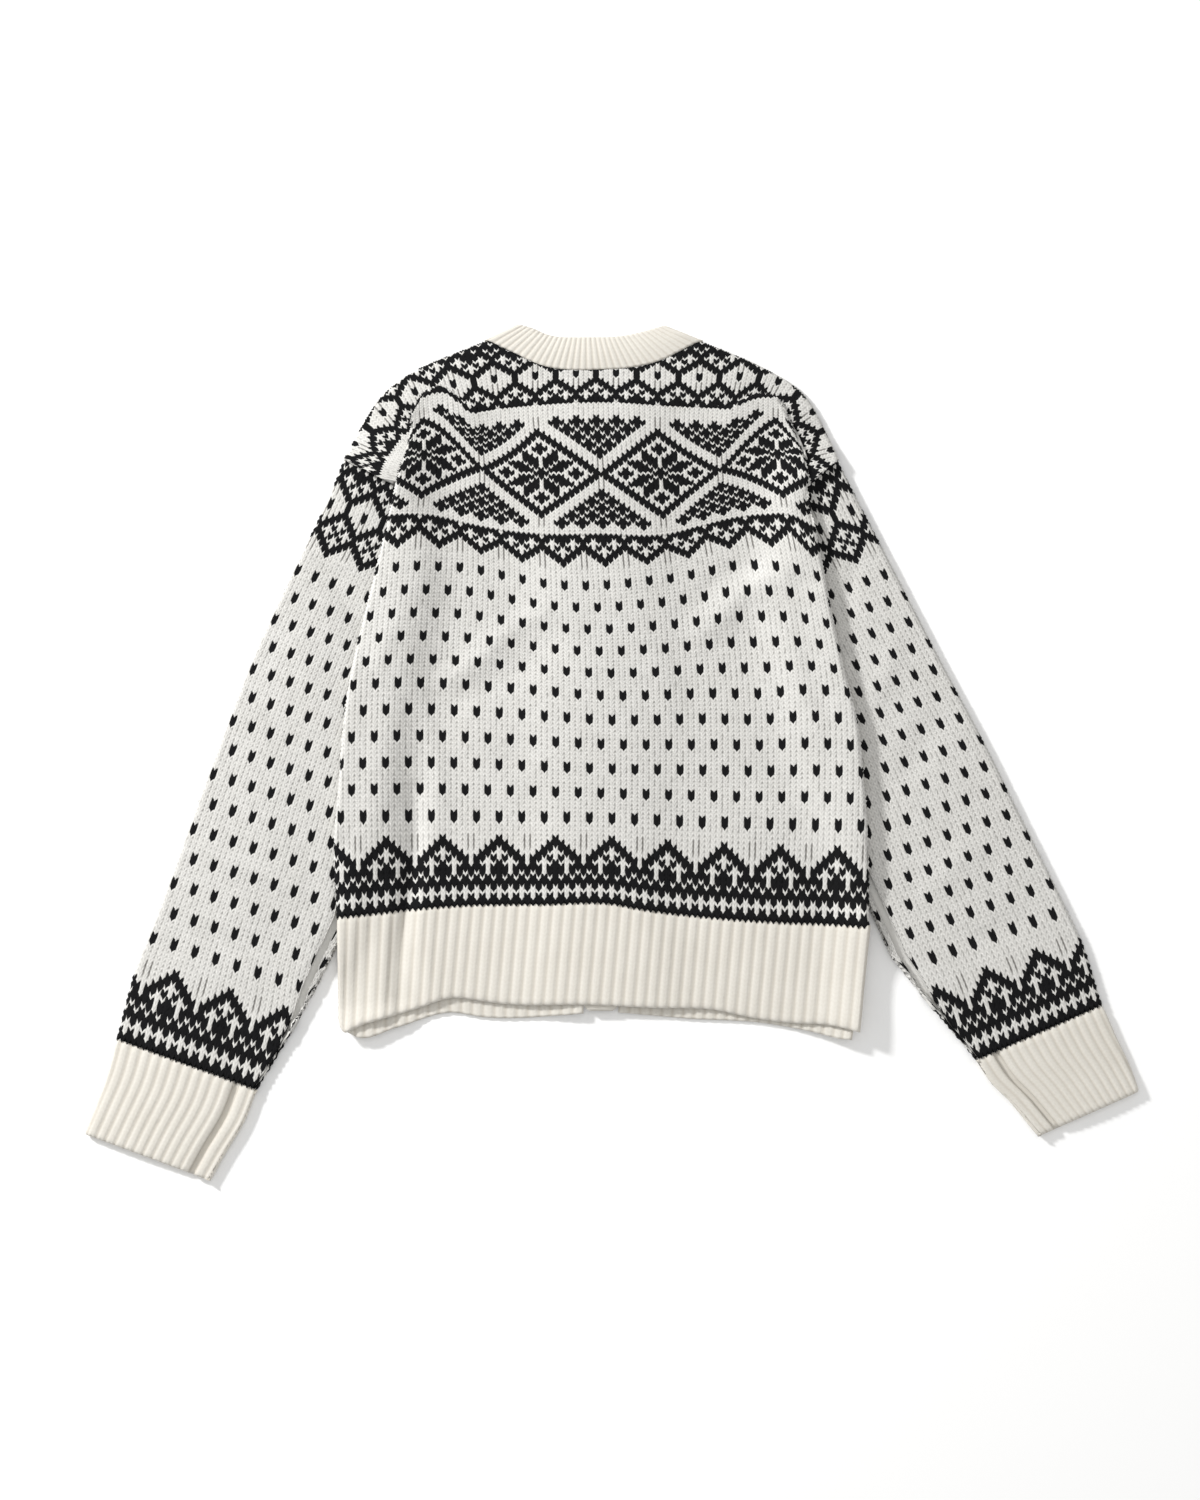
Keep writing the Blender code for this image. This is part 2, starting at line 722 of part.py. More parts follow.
def make_buttons(material):
    for index in range(BUTTON_COUNT):
        y = mix(BUTTON_LOWEST_Y, BUTTON_HIGHEST_Y, index / (BUTTON_COUNT - 1))
        mesh = bpy.data.meshes.new(f"button_{index + 1}")
        shape = bmesh.new()
        bmesh.ops.create_cone(
            shape,
            cap_ends=True,
            segments=20,
            radius1=BUTTON_RADIUS * MM,
            radius2=BUTTON_RADIUS * MM,
            depth=BUTTON_HEIGHT * MM,
        )
        rim = [edge for edge in shape.edges if edge.calc_face_angle() > 1]
        bmesh.ops.bevel(
            shape, geom=rim, offset=BUTTON_BEVEL * MM, segments=1, affect="EDGES", profile=0.5
        )
        shape.to_mesh(mesh)
        shape.free()
        mesh.shade_smooth()
        mesh.set_sharp_from_angle(angle=math.radians(40))
        mesh.materials.append(material)
        button = bpy.data.objects.new(f"button_{index + 1}", mesh)
        button.location = (CENTRE_X * MM, y * MM, BUTTON_HEIGHT / 2 * MM)
        bpy.context.scene.collection.objects.link(button)


def main():
    clear_scene()
    knit = make_material("patterned_knit", ECRU, 0.9)
    rib = make_material("cream_rib", CREAM, 0.9)
    horn = make_material("button", DARK, 0.4)
    make_back(knit)
    make_back_hem_rib(rib)
    for side in (-1, 1):
        make_front(side, knit)
        make_front_hem_rib(side, rib)
    flat_tube("sleeve_left", SLEEVE_LEFT, 13, knit, SLEEVE_CROWN)
    flat_tube("sleeve_right", SLEEVE_RIGHT, 13, knit, SLEEVE_CROWN)
    for name, stations in (("cuff_left", CUFF_LEFT), ("cuff_right", CUFF_RIGHT)):
        flat_tube(name, stations, 4, rib, 0.0, CUFF_RIB_HEIGHT, 2 * CUFF_RIBS)
    make_neckband(rib)
    make_band("buttonhole_band", BUTTONHOLE_BAND_Z, rib)
    make_band("button_band", BUTTON_BAND_Z, rib)
    make_buttons(horn)


main()
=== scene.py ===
"""The looks of a chunky Nordic cardigan that lies flat on its front, seen from straight above.

Each knitted piece is a sheet of stitches: every stitch is two raised legs that make a V, and the
charts say which stitches are black. Tables are in millimetres unless they count stitches or rows.
"""
import math

import bpy
import numpy as np
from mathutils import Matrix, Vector
from mathutils.bvhtree import BVHTree


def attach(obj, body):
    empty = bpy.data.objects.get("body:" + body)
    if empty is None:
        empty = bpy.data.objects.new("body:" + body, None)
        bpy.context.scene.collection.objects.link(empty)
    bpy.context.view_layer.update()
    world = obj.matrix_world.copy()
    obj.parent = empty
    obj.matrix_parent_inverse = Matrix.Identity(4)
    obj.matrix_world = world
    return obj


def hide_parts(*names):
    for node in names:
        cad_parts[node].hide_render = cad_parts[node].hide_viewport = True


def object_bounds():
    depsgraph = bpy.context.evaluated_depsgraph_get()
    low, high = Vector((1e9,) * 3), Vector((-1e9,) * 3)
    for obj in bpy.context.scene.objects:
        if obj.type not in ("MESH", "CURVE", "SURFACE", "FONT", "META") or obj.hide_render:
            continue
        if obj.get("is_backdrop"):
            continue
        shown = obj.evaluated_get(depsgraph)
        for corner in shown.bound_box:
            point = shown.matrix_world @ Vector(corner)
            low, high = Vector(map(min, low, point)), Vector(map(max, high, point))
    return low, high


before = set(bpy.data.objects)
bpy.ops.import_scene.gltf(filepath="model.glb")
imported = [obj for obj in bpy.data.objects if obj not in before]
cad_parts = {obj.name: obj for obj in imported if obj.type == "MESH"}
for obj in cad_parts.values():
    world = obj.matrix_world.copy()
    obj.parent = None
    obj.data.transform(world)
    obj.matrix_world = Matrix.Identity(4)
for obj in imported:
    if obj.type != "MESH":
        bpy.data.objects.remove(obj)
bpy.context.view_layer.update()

MM = 0.001
LOOSE = np.random.default_rng(7)  # small unevenness of hand knitting, the same on each run

# ---------------------------------------------------------------- sizes

CENTRE_X = -9.0
BODY_WIDTH = 437
TUBE_RADIUS = 3.05  # of the turned edges of sleeves and cuffs
SLEEVE_CROWN = 0.9
SHEET_DEPTH = 1.6  # from the crests of the stitches to the plain inner side
STITCH_RELIEF = 1.15
RIB_RELIEF = 1.5

# Where each course of the back runs, from the photo's left to its right.
COURSES = (
    # row, then x, y along it
    (0, ((-226, -133), (-195, -130), (-165, -126.7), (-119, -123.4), (-58, -122.6), (2.5, -122.6),
         (20.5, -126), (81, -133.3), (142, -137.4), (187, -139), (212, -141))),
    (18, ((-226, -51), (-165, -50), (-90, -51), (0, -52.3), (80, -55.3), (150, -57), (210, -58))),
    (48, ((-226, 56), (-165, 59), (-90, 55), (0, 48), (80, 50), (125, 50), (144, 52), (163, 53.3), (182, 52),
          (205, 50))),
    (78, ((-190, 151), (-177, 153), (-139, 153.7), (-120, 153), (-103, 150), (-88.5, 146.5), (-74, 143.5),
          (-56.6, 140), (13, 140), (31, 142.4), (47, 144), (63, 147), (79, 150), (95, 154),
          (113, 155.5), (131, 154.5), (149, 151.8), (166, 146.4), (180, 141))),
    (90, ((-195, 191), (-183, 192.3), (-149, 192.3), (-119, 185.7), (-88.6, 180), (-58, 176.7), (-10, 176.7),
          (47.6, 177), (70.5, 183.3), (103.3, 191), (126.3, 193), (145, 192.7), (161.5, 184.9), (175, 178))),
    (108, ((-205, 228), (-190, 232), (-178, 238), (-150, 244), (-128, 240.5), (-105, 232.5), (-80, 229),
           (-57, 228.7), (-8.6, 228), (41, 228.7), (66, 229), (87.5, 231.5), (110, 239.5), (134.7, 244.6),
           (155, 242), (170, 234), (185, 226))),
    (128, ((-176, 248), (-170, 262), (-164.7, 276.6), (-157.8, 289), (-148, 295.5), (-137, 296.3),
           (-124.5, 290.4), (-114.9, 284.2), (-92.6, 281.4), (-64.9, 284.9), (-37.2, 286.6), (-9.4, 287.4),
           (18.3, 286.6), (46, 284), (73.7, 282.4), (95.9, 282.9), (109.8, 289), (126.4, 292.6),
           (137.5, 290.4), (143, 282), (151.4, 265.4), (156, 248))),
    (148, ((-190, 300), (-175, 330), (-145, 345), (-122, 340), (-94, 338), (-58, 341), (-10, 342.5),
           (38, 341), (87, 337), (113, 343), (138, 340), (165, 300))),
)
WALES = (
    # row, x of the centre wale, distance between wales
    (0, -0.3, 4.61),
    (48, -0.3, 4.61),
    (78, -4.1, 4.36),
    (90, -7.0, 4.22),
    (108, -9.0, 4.08),
    (128, -12.7, 4.14),
    (148, -12.7, 4.18),
)
# The shoulders: where the wales cross row 136, and which way they run there.
SHOULDER_WALES = (
    # wale, x, y, towards x, towards y, row height
    (-63, -229, 226, -0.985, 0.17, 4.5),
    (-57, -219, 240, -0.967, 0.255, 3.65),
    (-52, -210.2, 253, -0.9, 0.4, 3.3),
    (-44, -186.8, 277.7, -0.64, 0.77, 2.8),
    (-36, -160.9, 294.6, -0.45, 0.89, 2.9),
    (-28, -129.6, 300.6, -0.3, 0.95, 3.0),
    (-20, -96.4, 304.8, -0.12, 0.99, 2.74),
    (-12, -62.9, 307.6, 0, 1, 2.7),
    (-4, -29.5, 309.7, 0, 1, 2.7),
    (4, 3.3, 309.9, 0, 1, 2.7),
    (12, 37.5, 307.6, 0, 1, 2.7),
    (20, 71.6, 306.2, 0.08, 0.99, 2.74),
    (28, 104.3, 306.7, 0.2, 0.98, 3.0),
    (36, 135.9, 303.3, 0.45, 0.89, 2.9),
    (44, 163.9, 278.7, 0.8, 0.6, 2.7),
    (52, 178.2, 248, 0.96, 0.28, 2.7),
    (62, 190, 212, 1, 0.1, 2.7),
)

# Edges of the body.
SIDE_LEFT = ((-222, -228), (-225, -200), (-226, -170), (-225.5, -136), (-228, -80), (-224, -23), (-220, 27),
             (-212, 76), (-200, 125), (-190, 166), (-178, 218))
SIDE_RIGHT = ((203, -228), (207.5, -200), (211, -170), (210.5, -136), (210, -80), (206.5, -23), (201, 27),
              (188.5, 76), (178, 125), (170.5, 166), (160, 218))
FOLD_LEFT = ((-178, 218), (-175, 231), (-171, 240), (-166.5, 259.5), (-163.2, 280.9), (-157, 293),
             (-145, 301), (-133, 298.5), (-121, 288), (-108, 284.5))
FOLD_RIGHT = ((88, 284.5), (98, 286), (112, 293), (121, 295.5), (135, 292), (145, 275), (152, 258),
              (158.5, 241), (161, 225), (160, 218))
SHOULDER_LEFT = ((-220, 241), (-204, 271), (-188, 294), (-161, 314), (-131, 327), (-102, 338.5))
SHOULDER_RIGHT = ((72, 338), (97, 328), (120, 318), (158, 293), (178, 258), (186, 240))
NECK_SEAM = ((-102, 338.5), (-81, 328.5), (-58, 318), (-10, 314.5), (34, 320), (72, 338))
NECK_TOP = ((-102, 338.5), (-87.1, 348.2), (-76, 351), (-65, 348), (-53.8, 343), (-20.6, 340.7), (12.7, 342.4),
            (28, 346), (41.8, 350), (57, 345.9), (73.7, 337.5))
BACK_HEM = ((-225, -221), (-219.5, -229), (-207.5, -223.5), (-184.5, -216.9), (-160.7, -210.3),
            (-129.6, -201.3), (-110, -203.5), (-90.2, -206.2), (-19.7, -207), (36, -209.5), (83.6, -211.2),
            (114.8, -217.7), (146, -221.8), (178, -223.5), (193.5, -226.7), (203.4, -229.2))
FRONT_HEM = ((-220.5, -229), (-208, -234), (-176, -225.5), (-130, -213.5), (-108, -217), (-36, -215.3),
             (-9, -213), (27, -215.3), (55.8, -218), (127, -222.5), (163, -229), (190, -235), (199, -235.5))
RIB_SEAM = COURSES[0][1]
FRONT_NECK_DROP_Y = 246.0
BAND_WIDTH = 28.0
NECKBAND_WIDTH = 25.0

# Sleeves: where their rows meet the outer edge, and how the rows slope from there.
SLEEVE_LEFT = (
    # row, x, y, towards x, towards y, distance between wales
    (-0.5, -406.6, -234.3, 115.5, -42, 4.75),
    (13.5, -388.7, -170.2, 100, -32.5, 4.70),
    (18.5, -380.9, -151.3, 100, -33, 4.52),
    (42.5, -347.7, -61.9, 100, -31.5, 4.30),
    (60.5, -323.1, 5.3, 100, -33.3, 4.12),
    (78.5, -298.5, 69.3, 100, -34.5, 4.03),
    (102.5, -261.6, 150.5, 100, -38.3, 3.86),
    (119, -233.7, 207.1, 100, -46, 3.80),
    (128.5, -220, 240.4, 46, -25.6, 3.75),
)
SLEEVE_RIGHT = (
    (-0.5, 402, -206.5, -104, -45.5, 4.34),
    (13.5, 383, -148.8, -100, -37, 4.36),
    (18.5, 373.5, -129, -100, -36, 4.37),
    (42.5, 333.5, -48.4, -100, -34, 4.28),
    (60.5, 304.5, 10.4, -100, -29, 4.12),
    (78.5, 272.5, 70.1, -100, -29.5, 4.0),
    (102.5, 232, 148.4, -100, -36, 3.9),
    (119, 203, 204.6, -100, -60, 3.8),
    (128.5, 185.5, 239.2, -32, -27.4, 3.75),
)
INNER_LEFT = ((-140, 250), (-172, 214), (-160, 155), (-180, 45), (-197, -44), (-216, -139), (-242, -193),
              (-270, -242), (-292, -278), (-330, -352))
INNER_RIGHT = ((130, 250), (154, 211), (143, 142), (152, 66), (171, -6), (196, -95), (229, -168), (258, -204),
               (298, -252), (350, -315))
CUFF_LEFT = (
    # place along, x, y, towards x, towards y, width
    (0.0, -406.7, -235.0, 115.5, -42, 122.5),
    (0.35, -413.5, -262, 110, -41, 119),
    (0.7, -424, -291, 104, -40, 113),
    (1.0, -433, -313, 103.5, -38.4, 110.5),
)
CUFF_RIGHT = (
    (0.0, 402.3, -207.2, -104, -45.5, 113),
    (0.35, 413, -232, -103, -40, 109),
    (0.7, 424, -255, -98, -36, 101),
    (1.0, 433, -278, -83, -37, 91),
)
EDGE_WALES = {  # by side: rows, and how many wales lie between the middle of the sleeve and its outer edge
    1: ((0, 17, 50, 128), (17.4, 17.4, 17.4, 17.4)),
    -1: ((0, 17, 50, 128), (19.4, 19.2, 18.65, 18.7)),
}
CUFF_SEAM = 21.0  # the underarm seam shows this far in from a cuff's inner edge
UNDERARM = (
    # row, how far in the seam of a sleeve shows
    (-2, 3.8),
    (7, 4.0),
    (13, 7.5),
    (18, 12.0),
    (24, 13.5),
    (70, 13.5),
    (95, 4.0),
    (130, 3.5),
)

# Creases: soft ridges and troughs of the cloth, from one end to the other.
BODY_CREASES = (
    # x, y, to x, to y, half width, height
    (-188, -224, -184, -70, 9, 1.3),
    (-169, -226, -167, -30, 7, -3.1),
    (-152, -222, -154, -90, 9, 1.0),
    (-112, 140, -40, 84, 20, -1.0),
    (-122, 152, -92, 118, 12, 0.9),
    (74, 100, 140, 150, 10, 1.5),
    (62, 118, 122, 162, 9, -1.1),
    (-134, 62, -58, 114, 10, 1.7),
    (-124, 40, -50, 88, 12, -1.0),
    (-152, 50, -144, -80, 9, 1.3),
    (40, 70, 62, 4, 12, 0.9),
    (-116, 30, -70, -14, 11, 1.0),
    (-100, 8, -56, -36, 12, -0.8),
    (120, -40, 176, -82, 12, 0.9),
    (34, -20, 80, -58, 16, -0.7),
    (-50, -90, -20, -120, 14, 0.6),
    (150, 60, 176, 10, 8, 0.9),
    (-196, 60, -176, 110, 8, 0.9),
)
# Where the body's edge and the corners of its hem stand up off what lies under them.
LIFTED = (
    # x, y, to x, to y, half width, height
    (212, -100, 206, 10, 20, 4.5),
    (204, 10, 180, 130, 18, 5.0),
    (180, 130, 168, 170, 16, 3.5),
    (216, -236, 212, -150, 26, 9.0),
    (-226, -238, -176, -228, 16, 5.5),
    (-229, -60, -214, 70, 12, 1.8),
    (150, 284, 161, 226, 9, 2.2),
)
SLEEVE_CREASES_LEFT = (
    (-238, 150, -196, 96, 9, -1.0),
    (-262, 84, -214, 38, 10, 0.8),
    (-282, 20, -226, -30, 12, -0.8),
    (-330, -76, -262, -112, 11, 0.7),
    (-350, -150, -280, -160, 12, -0.7),
)
SLEEVE_CREASES_RIGHT = (
    (200, 150, 178, 96, 8, -1.0),
    (232, 86, 206, 28, 10, 0.8),
    (268, 24, 232, -26, 12, -0.8),
    (310, -66, 262, -112, 11, 0.7),
    (340, -130, 300, -160, 12, -0.7),
)

# ---------------------------------------------------------------- charts, read from the top row down

BORDER_CHART = (  # repeats every 10 wales, with the peak on wale 0
    ".....#....",
    "....###...",
    "...##.##..",
    "..##...##.",
    ".##.#.#.##",
    ".#...#...#",
    "###.###.##",
    "#.#.###.#.",
    ".#.#.#.#.#",
    "##########",
    "#.#.#.#.#.",
    "..........",
    "#.#.#.#.#.",
    "##########",
)
FLOWER_CHART = (  # repeats every 8 wales, starting at wale -4
    ".#######",
    "##.###.#",
    "#...#...",
    "##.#.#.#",
    ".##...##",
    "..##.##.",
    "...###..",
    "....#...",
)
NECK_CHART = (  # the dense rows at the neck points, which repeat every 8 wales
    "########",
    ".#.#.#.#",
    "########",
    "#.#.#.#.",
)


def stitch_table(chart):
    return np.array([[mark == "#" for mark in row] for row in chart[::-1]])


BORDER, FLOWER, NECK = (stitch_table(chart) for chart in (BORDER_CHART, FLOWER_CHART, NECK_CHART))
LICE_ROW, FLOWER_ROW, DIAMOND_ROW, HEXAGON_ROW, NECK_ROW = 17, 83, 108, 128, 145


def lookup(table, wale, row, first_row, first_wale):
    """Reads a chart that repeats along the rows. It is white above and below."""
    inside = (row >= first_row) & (row < first_row + len(table))
    found = table[np.clip(row - first_row, 0, len(table) - 1), (wale - first_wale) % table.shape[1]]
    return inside & found


def lice(wale, row, first_row, count):
    """Single stitches two rows tall, four wales apart, every other time shifted by two wales."""
    step = row - first_row
    band = step // 6
    on = (step >= 0) & (step % 6 < 2) & (band < count)
    return on & ((wale + 2 * (band % 2)) % 4 == 0)


def diamonds(wale, row, middle_row):
    """Big diamonds with two pairs of rings, and small crosses in the triangles between them."""
    r = row - middle_row
    c = wale % 24 - 12
    a, b = np.abs(c), np.abs(r)
    frame_line = (a + b == 11) | (a + b == 12)
    ring_side = np.abs(a - 7) + b
    ring_end = a + np.abs(b - 7)
    white = ((ring_side >= 2) & (ring_side <= 3)) | ((ring_end >= 2) & (ring_end <= 3))
    white |= (a >= 4) & (b >= 4)
    white |= (a == b) & (a >= 1) & (a <= 3)
    white |= (a == 0) & (b >= 2) & (b <= 3)
    white |= (b == 0) & (a >= 2) & (a <= 3)
    inside = (a + b <= 10) & ~white
    t = np.abs((wale + 12) % 24 - 12)
    crosses = np.zeros(np.shape(t), bool)
    for level, spots in ((14, (0, 4, 8)), (12, (2, 6)), (10, (0, 4)), (8, (2,)), (6, (0,))):
        for spot in spots:
            crosses |= np.abs(t - spot) + np.abs(b - level) <= 1
    return (b <= 15) & (frame_line | inside | (crosses & (a + b > 13)))


def hexagon_band(wale, row, first_row):
    """A band of flowers, mirrored about its middle row, with a white hexagon between two of them."""
    step = row - first_row
    up = np.where(step > 8, 16 - step, step)
    lower = lookup(FLOWER[::-1], wale, up, 0, -4)
    middle = (up == 8) & (wale % 4 == 0)
    centre = (step == 9) & (wale % 8 == 4)
    return (step >= 0) & (step <= 16) & (lower | middle | centre)


def body_black(wale, row):
    """The pattern of the back and the fronts; row 0 is the first above the hem rib."""
    black = lookup(BORDER, wale, row, 0, -5)
    black |= lice(wale, row, LICE_ROW, 11)
    black |= lookup(FLOWER, wale, row, FLOWER_ROW, -4)
    black |= diamonds(wale, row, DIAMOND_ROW)
    black |= hexagon_band(wale, row, HEXAGON_ROW)
    return black | lookup(NECK, wale, row, NECK_ROW, 0) | lookup(NECK, wale, row, NECK_ROW + 4, 0)


def beside(edge, middle):
    """The two edges of the wale at a distance of middle."""
    return np.abs(edge - middle) == 0.5


def border_floats(edge, row):
    return beside((edge + 10) % 10, 5) & (row >= 11) & (row <= 13)


def body_floats(edge, row):
    """Where black yarn shows through beside a wale's left edge, above and below the motifs."""
    c = np.abs(edge % 24 - 12)  # from the middle of a big diamond
    r = np.abs(row - DIAMOND_ROW)
    found = beside(c, 0) & (r >= 13) & (r <= 15)
    found |= beside(c, 12) & (r >= 2) & (r <= 4)
    t = np.abs((edge + 4) % 8 - 4)  # from the tips of the flower bands
    h = np.abs(row - HEXAGON_ROW - 8)
    found |= beside(t, 4) & (((row >= 82) & (row <= 85)) | ((h >= 2) & (h <= 4)))
    return found | border_floats(edge, row)


def sleeve_black(wale, row):
    """The pattern of a sleeve; row 0 is the first above the cuff rib."""
    black = lookup(BORDER, wale, row, 0, -5)
    black |= lice(wale, row, 18, 15)
    a = np.abs(wale % 8 - 4)  # from the middle of a small diamond
    b = np.abs(row - 113)
    flower = (np.abs(a - 2) + b <= 1) | (a + np.abs(b - 2) <= 1)
    black |= (a + b <= 5) & ~flower
    black |= (a == 0) & (row >= 118) & (row <= 121)
    black |= (a == 4) & (row >= 118) & (row <= 119)
    black |= lookup(FLOWER, wale + 4, row, 120, -4)
    return black | ((row == 128) & (wale % 2 == 0))


def sleeve_floats(edge, row):
    t = (edge + 4) % 8 - 4  # from the middle of a flower
    h = np.abs(row - 119)
    found = beside(t, 0) & (((h >= 2) & (h <= 4)) | ((row >= 108) & (row <= 110)))
    return found | border_floats(edge, row)


# ---------------------------------------------------------------- curves and edges


def ease(share):
    share = np.clip(share, 0, 1)
    return share * share * (3 - 2 * share)


def reach_of(points):
    """The length along a line at each of its points."""
    return np.concatenate([[0], np.cumsum(np.linalg.norm(np.diff(points, axis=0), axis=1))])


def cell_of(knots, at):
    return np.clip(np.searchsorted(knots, at, side="right") - 1, 0, len(knots) - 2)


def hermite(a, b, slope_a, slope_b, t):
    """From a to b as t runs from 0 to 1, with these slopes at its ends."""
    return (
        a * (2 * t**3 - 3 * t**2 + 1)
        + slope_a * (t**3 - 2 * t**2 + t)
        + b * (3 * t**2 - 2 * t**3)
        + slope_b * (t**3 - t**2)
    )


def smooth(points, count):
    """Points along a smooth curve through the given ones."""
    points = np.asarray(points, float)
    reach = reach_of(points)
    slopes = np.gradient(points, reach, axis=0)
    at = np.linspace(0, reach[-1], count)
    k = cell_of(reach, at)
    span = (reach[k + 1] - reach[k])[:, None]
    t = (at - reach[k])[:, None] / span
    return hermite(points[k], points[k + 1], slopes[k] * span, slopes[k + 1] * span, t)


def line(points, count):
    return [tuple(point) for point in smooth(points, count)]


def read(table, at):
    """A table's columns at places of its first column, smoothly, and straight on past its ends."""
    knots, *columns = np.asarray(table, float).T
    k = cell_of(knots, at)
    span = knots[k + 1] - knots[k]
    t = (at - knots[k]) / span
    found = []
    for column in columns:
        slopes = np.gradient(column, knots)
        value = hermite(column[k], column[k + 1], slopes[k] * span, slopes[k + 1] * span, t)
        value = np.where(at < knots[0], column[0] + slopes[0] * (at - knots[0]), value)
        found.append(np.where(at > knots[-1], column[-1] + slopes[-1] * (at - knots[-1]), value))
    return found


def foot_on(x, y, ax, ay, bx, by):
    """The place, from 0 to 1, where a stretch comes nearest to (x, y), and how it runs."""
    dx, dy = bx - ax, by - ay
    return np.clip(((x - ax) * dx + (y - ay) * dy) / (dx * dx + dy * dy + 1e-12), 0, 1), dx, dy


def inside(x, y, loop):
    """Which points lie in a closed outline."""
    x, y = np.ravel(x), np.ravel(y)
    found = np.zeros(x.shape, bool)
    for (ax, ay), (bx, by) in zip(loop, np.roll(loop, -1, axis=0)):
        crosses = (ay > y) != (by > y)
        found ^= crosses & (x < (bx - ax) * (y - ay) / (by - ay + 1e-12) + ax)
    return found


def signed(x, y, paths, loop):
    """Distance to the nearest of the paths, positive inside the outline, with its foot."""
    shape = np.shape(x)
    x, y = np.ravel(x), np.ravel(y)
    best = np.full(x.shape, 1e9)
    foot_x, foot_y = np.zeros_like(x), np.zeros_like(y)
    for path in paths:
        for a, b in zip(path, path[1:]):
            t, dx, dy = foot_on(x, y, *a, *b)
            px, py = a[0] + t * dx, a[1] + t * dy
            away = np.hypot(x - px, y - py)
            closer = away < best
            best = np.where(closer, away, best)
            foot_x, foot_y = np.where(closer, px, foot_x), np.where(closer, py, foot_y)
    best = np.where(inside(x, y, loop), best, -best)
    return best.reshape(shape), foot_x.reshape(shape), foot_y.reshape(shape)


def lifted(x, y):
    """How far the body's edges stand up here."""
    best = np.zeros(np.shape(x))
    for ax, ay, bx, by, half_width, height in LIFTED:
        t, dx, dy = foot_on(x, y, ax, ay, bx, by)
        away = np.hypot(x - ax - t * dx, y - ay - t * dy)
        best = np.maximum(best, height * ease(1 - away / (1.8 * half_width)))
    return best


def creases(x, y, table):
    total = np.zeros(np.shape(x))
    for ax, ay, bx, by, half_width, height in table:
        t, dx, dy = foot_on(x, y, ax, ay, bx, by)
        bend = 3.0 * np.sin(5.0 * t + ax) / 90  # a crease is never quite straight
        away = np.hypot(x - ax - t * dx + bend * dy, y - ay - t * dy - bend * dx)
        fade = 0.4 + 0.6 * np.sin(np.pi * (0.12 + 0.76 * t))
        total += height * fade * np.exp(-((away / half_width) ** 2))
    return total


# ---------------------------------------------------------------- heights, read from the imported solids


class Heights:
    """The height of a solid's upper or lower side, smoothed over a grid."""

    STEP = 4.0
    MARGIN = 30
    FAR = 100.0

    def __init__(self, nodes, where=None, from_above=True, passes=5):
        meshes = [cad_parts[name].data for name in nodes]
        points = [np.array([v.co / MM for v in mesh.vertices]) for mesh in meshes]
        trees = [
            BVHTree.FromPolygons(part.tolist(), [p.vertices[:] for p in mesh.polygons])
            for part, mesh in zip(points, meshes)
        ]
        points = np.concatenate(points)
        self.low = points.min(0)[:2] - self.MARGIN
        wide, tall = ((points.max(0)[:2] + self.MARGIN - self.low) / self.STEP).astype(int) + 1
        grid = np.full((tall, wide), np.nan)
        xs, ys = (self.low[k] + np.arange(count) * self.STEP for k, count in ((0, wide), (1, tall)))
        way = -1 if from_above else 1
        for j, y in enumerate(ys):
            for i, x in enumerate(xs):
                hits = [tree.ray_cast(Vector((x, y, -self.FAR * way)), Vector((0, 0, way)))[0] for tree in trees]
                found = [hit.z for hit in hits if hit is not None]
                if found:
                    grid[j, i] = max(found) if from_above else min(found)
        if where is not None:
            grid[~where(*np.meshgrid(xs, ys))] = np.nan
        for _ in range(16):
            self.fill(grid)
        grid[np.isnan(grid)] = np.nanmean(grid)
        for _ in range(passes):
            for axis in (0, 1):
                grid = (np.roll(grid, 1, axis) + 2 * grid + np.roll(grid, -1, axis)) / 4
        self.grid = grid

    @staticmethod
    def fill(grid):
        """Spreads known heights one cell outwards."""
        total, count = np.zeros_like(grid), np.zeros_like(grid)
        for axis in (0, 1):
            for way in (1, -1):
                moved = np.roll(grid, way, axis)
                known = ~np.isnan(moved)
                total[known] += moved[known]
                count += known
        empty = np.isnan(grid) & (count > 0)
        grid[empty] = (total / np.maximum(count, 1))[empty]

    def at(self, x, y):
        g = self.grid
        u = np.clip((x - self.low[0]) / self.STEP, 0, g.shape[1] - 1.001)
        v = np.clip((y - self.low[1]) / self.STEP, 0, g.shape[0] - 1.001)
        i, j = u.astype(int), v.astype(int)
        s, t = (0.5 * (ease(part) + part) for part in (u - i, v - j))
        below = g[j, i] * (1 - s) + g[j, i + 1] * s
        return below * (1 - t) + (g[j + 1, i] * (1 - s) + g[j + 1, i + 1] * s) * t


# ---------------------------------------------------------------- meshes


def make_object(name, points, faces, kinds, materials, shade=None, flat_from=None):
    """A mesh in millimetres. shade is painted shade: 1 on the crests of the yarn and less in its grooves. It also
    marks where the black yarn behind shows.
    """
    mesh = bpy.data.meshes.new(name)
    mesh.from_pydata(points * MM, [], faces)
    mesh.polygons.foreach_set("material_index", np.asarray(kinds, np.int32))
    for material in materials:
        mesh.materials.append(material)
    rounded = np.ones(len(faces), bool)
    if flat_from is not None:
        rounded[flat_from:] = False
    mesh.polygons.foreach_set("use_smooth", rounded)
    layer = mesh.attributes.new("shade", "FLOAT", "POINT")
    shade = np.ones(len(points)) if shade is None else shade
    layer.data.foreach_set("value", shade.astype(np.float32))
    mesh.update()
    obj = bpy.data.objects.new(name, mesh)
    bpy.context.scene.collection.objects.link(obj)
    return obj


def quads_of(grid):
    return np.stack([grid[:-1, :-1], grid[:-1, 1:], grid[1:, 1:], grid[1:, :-1]], -1)


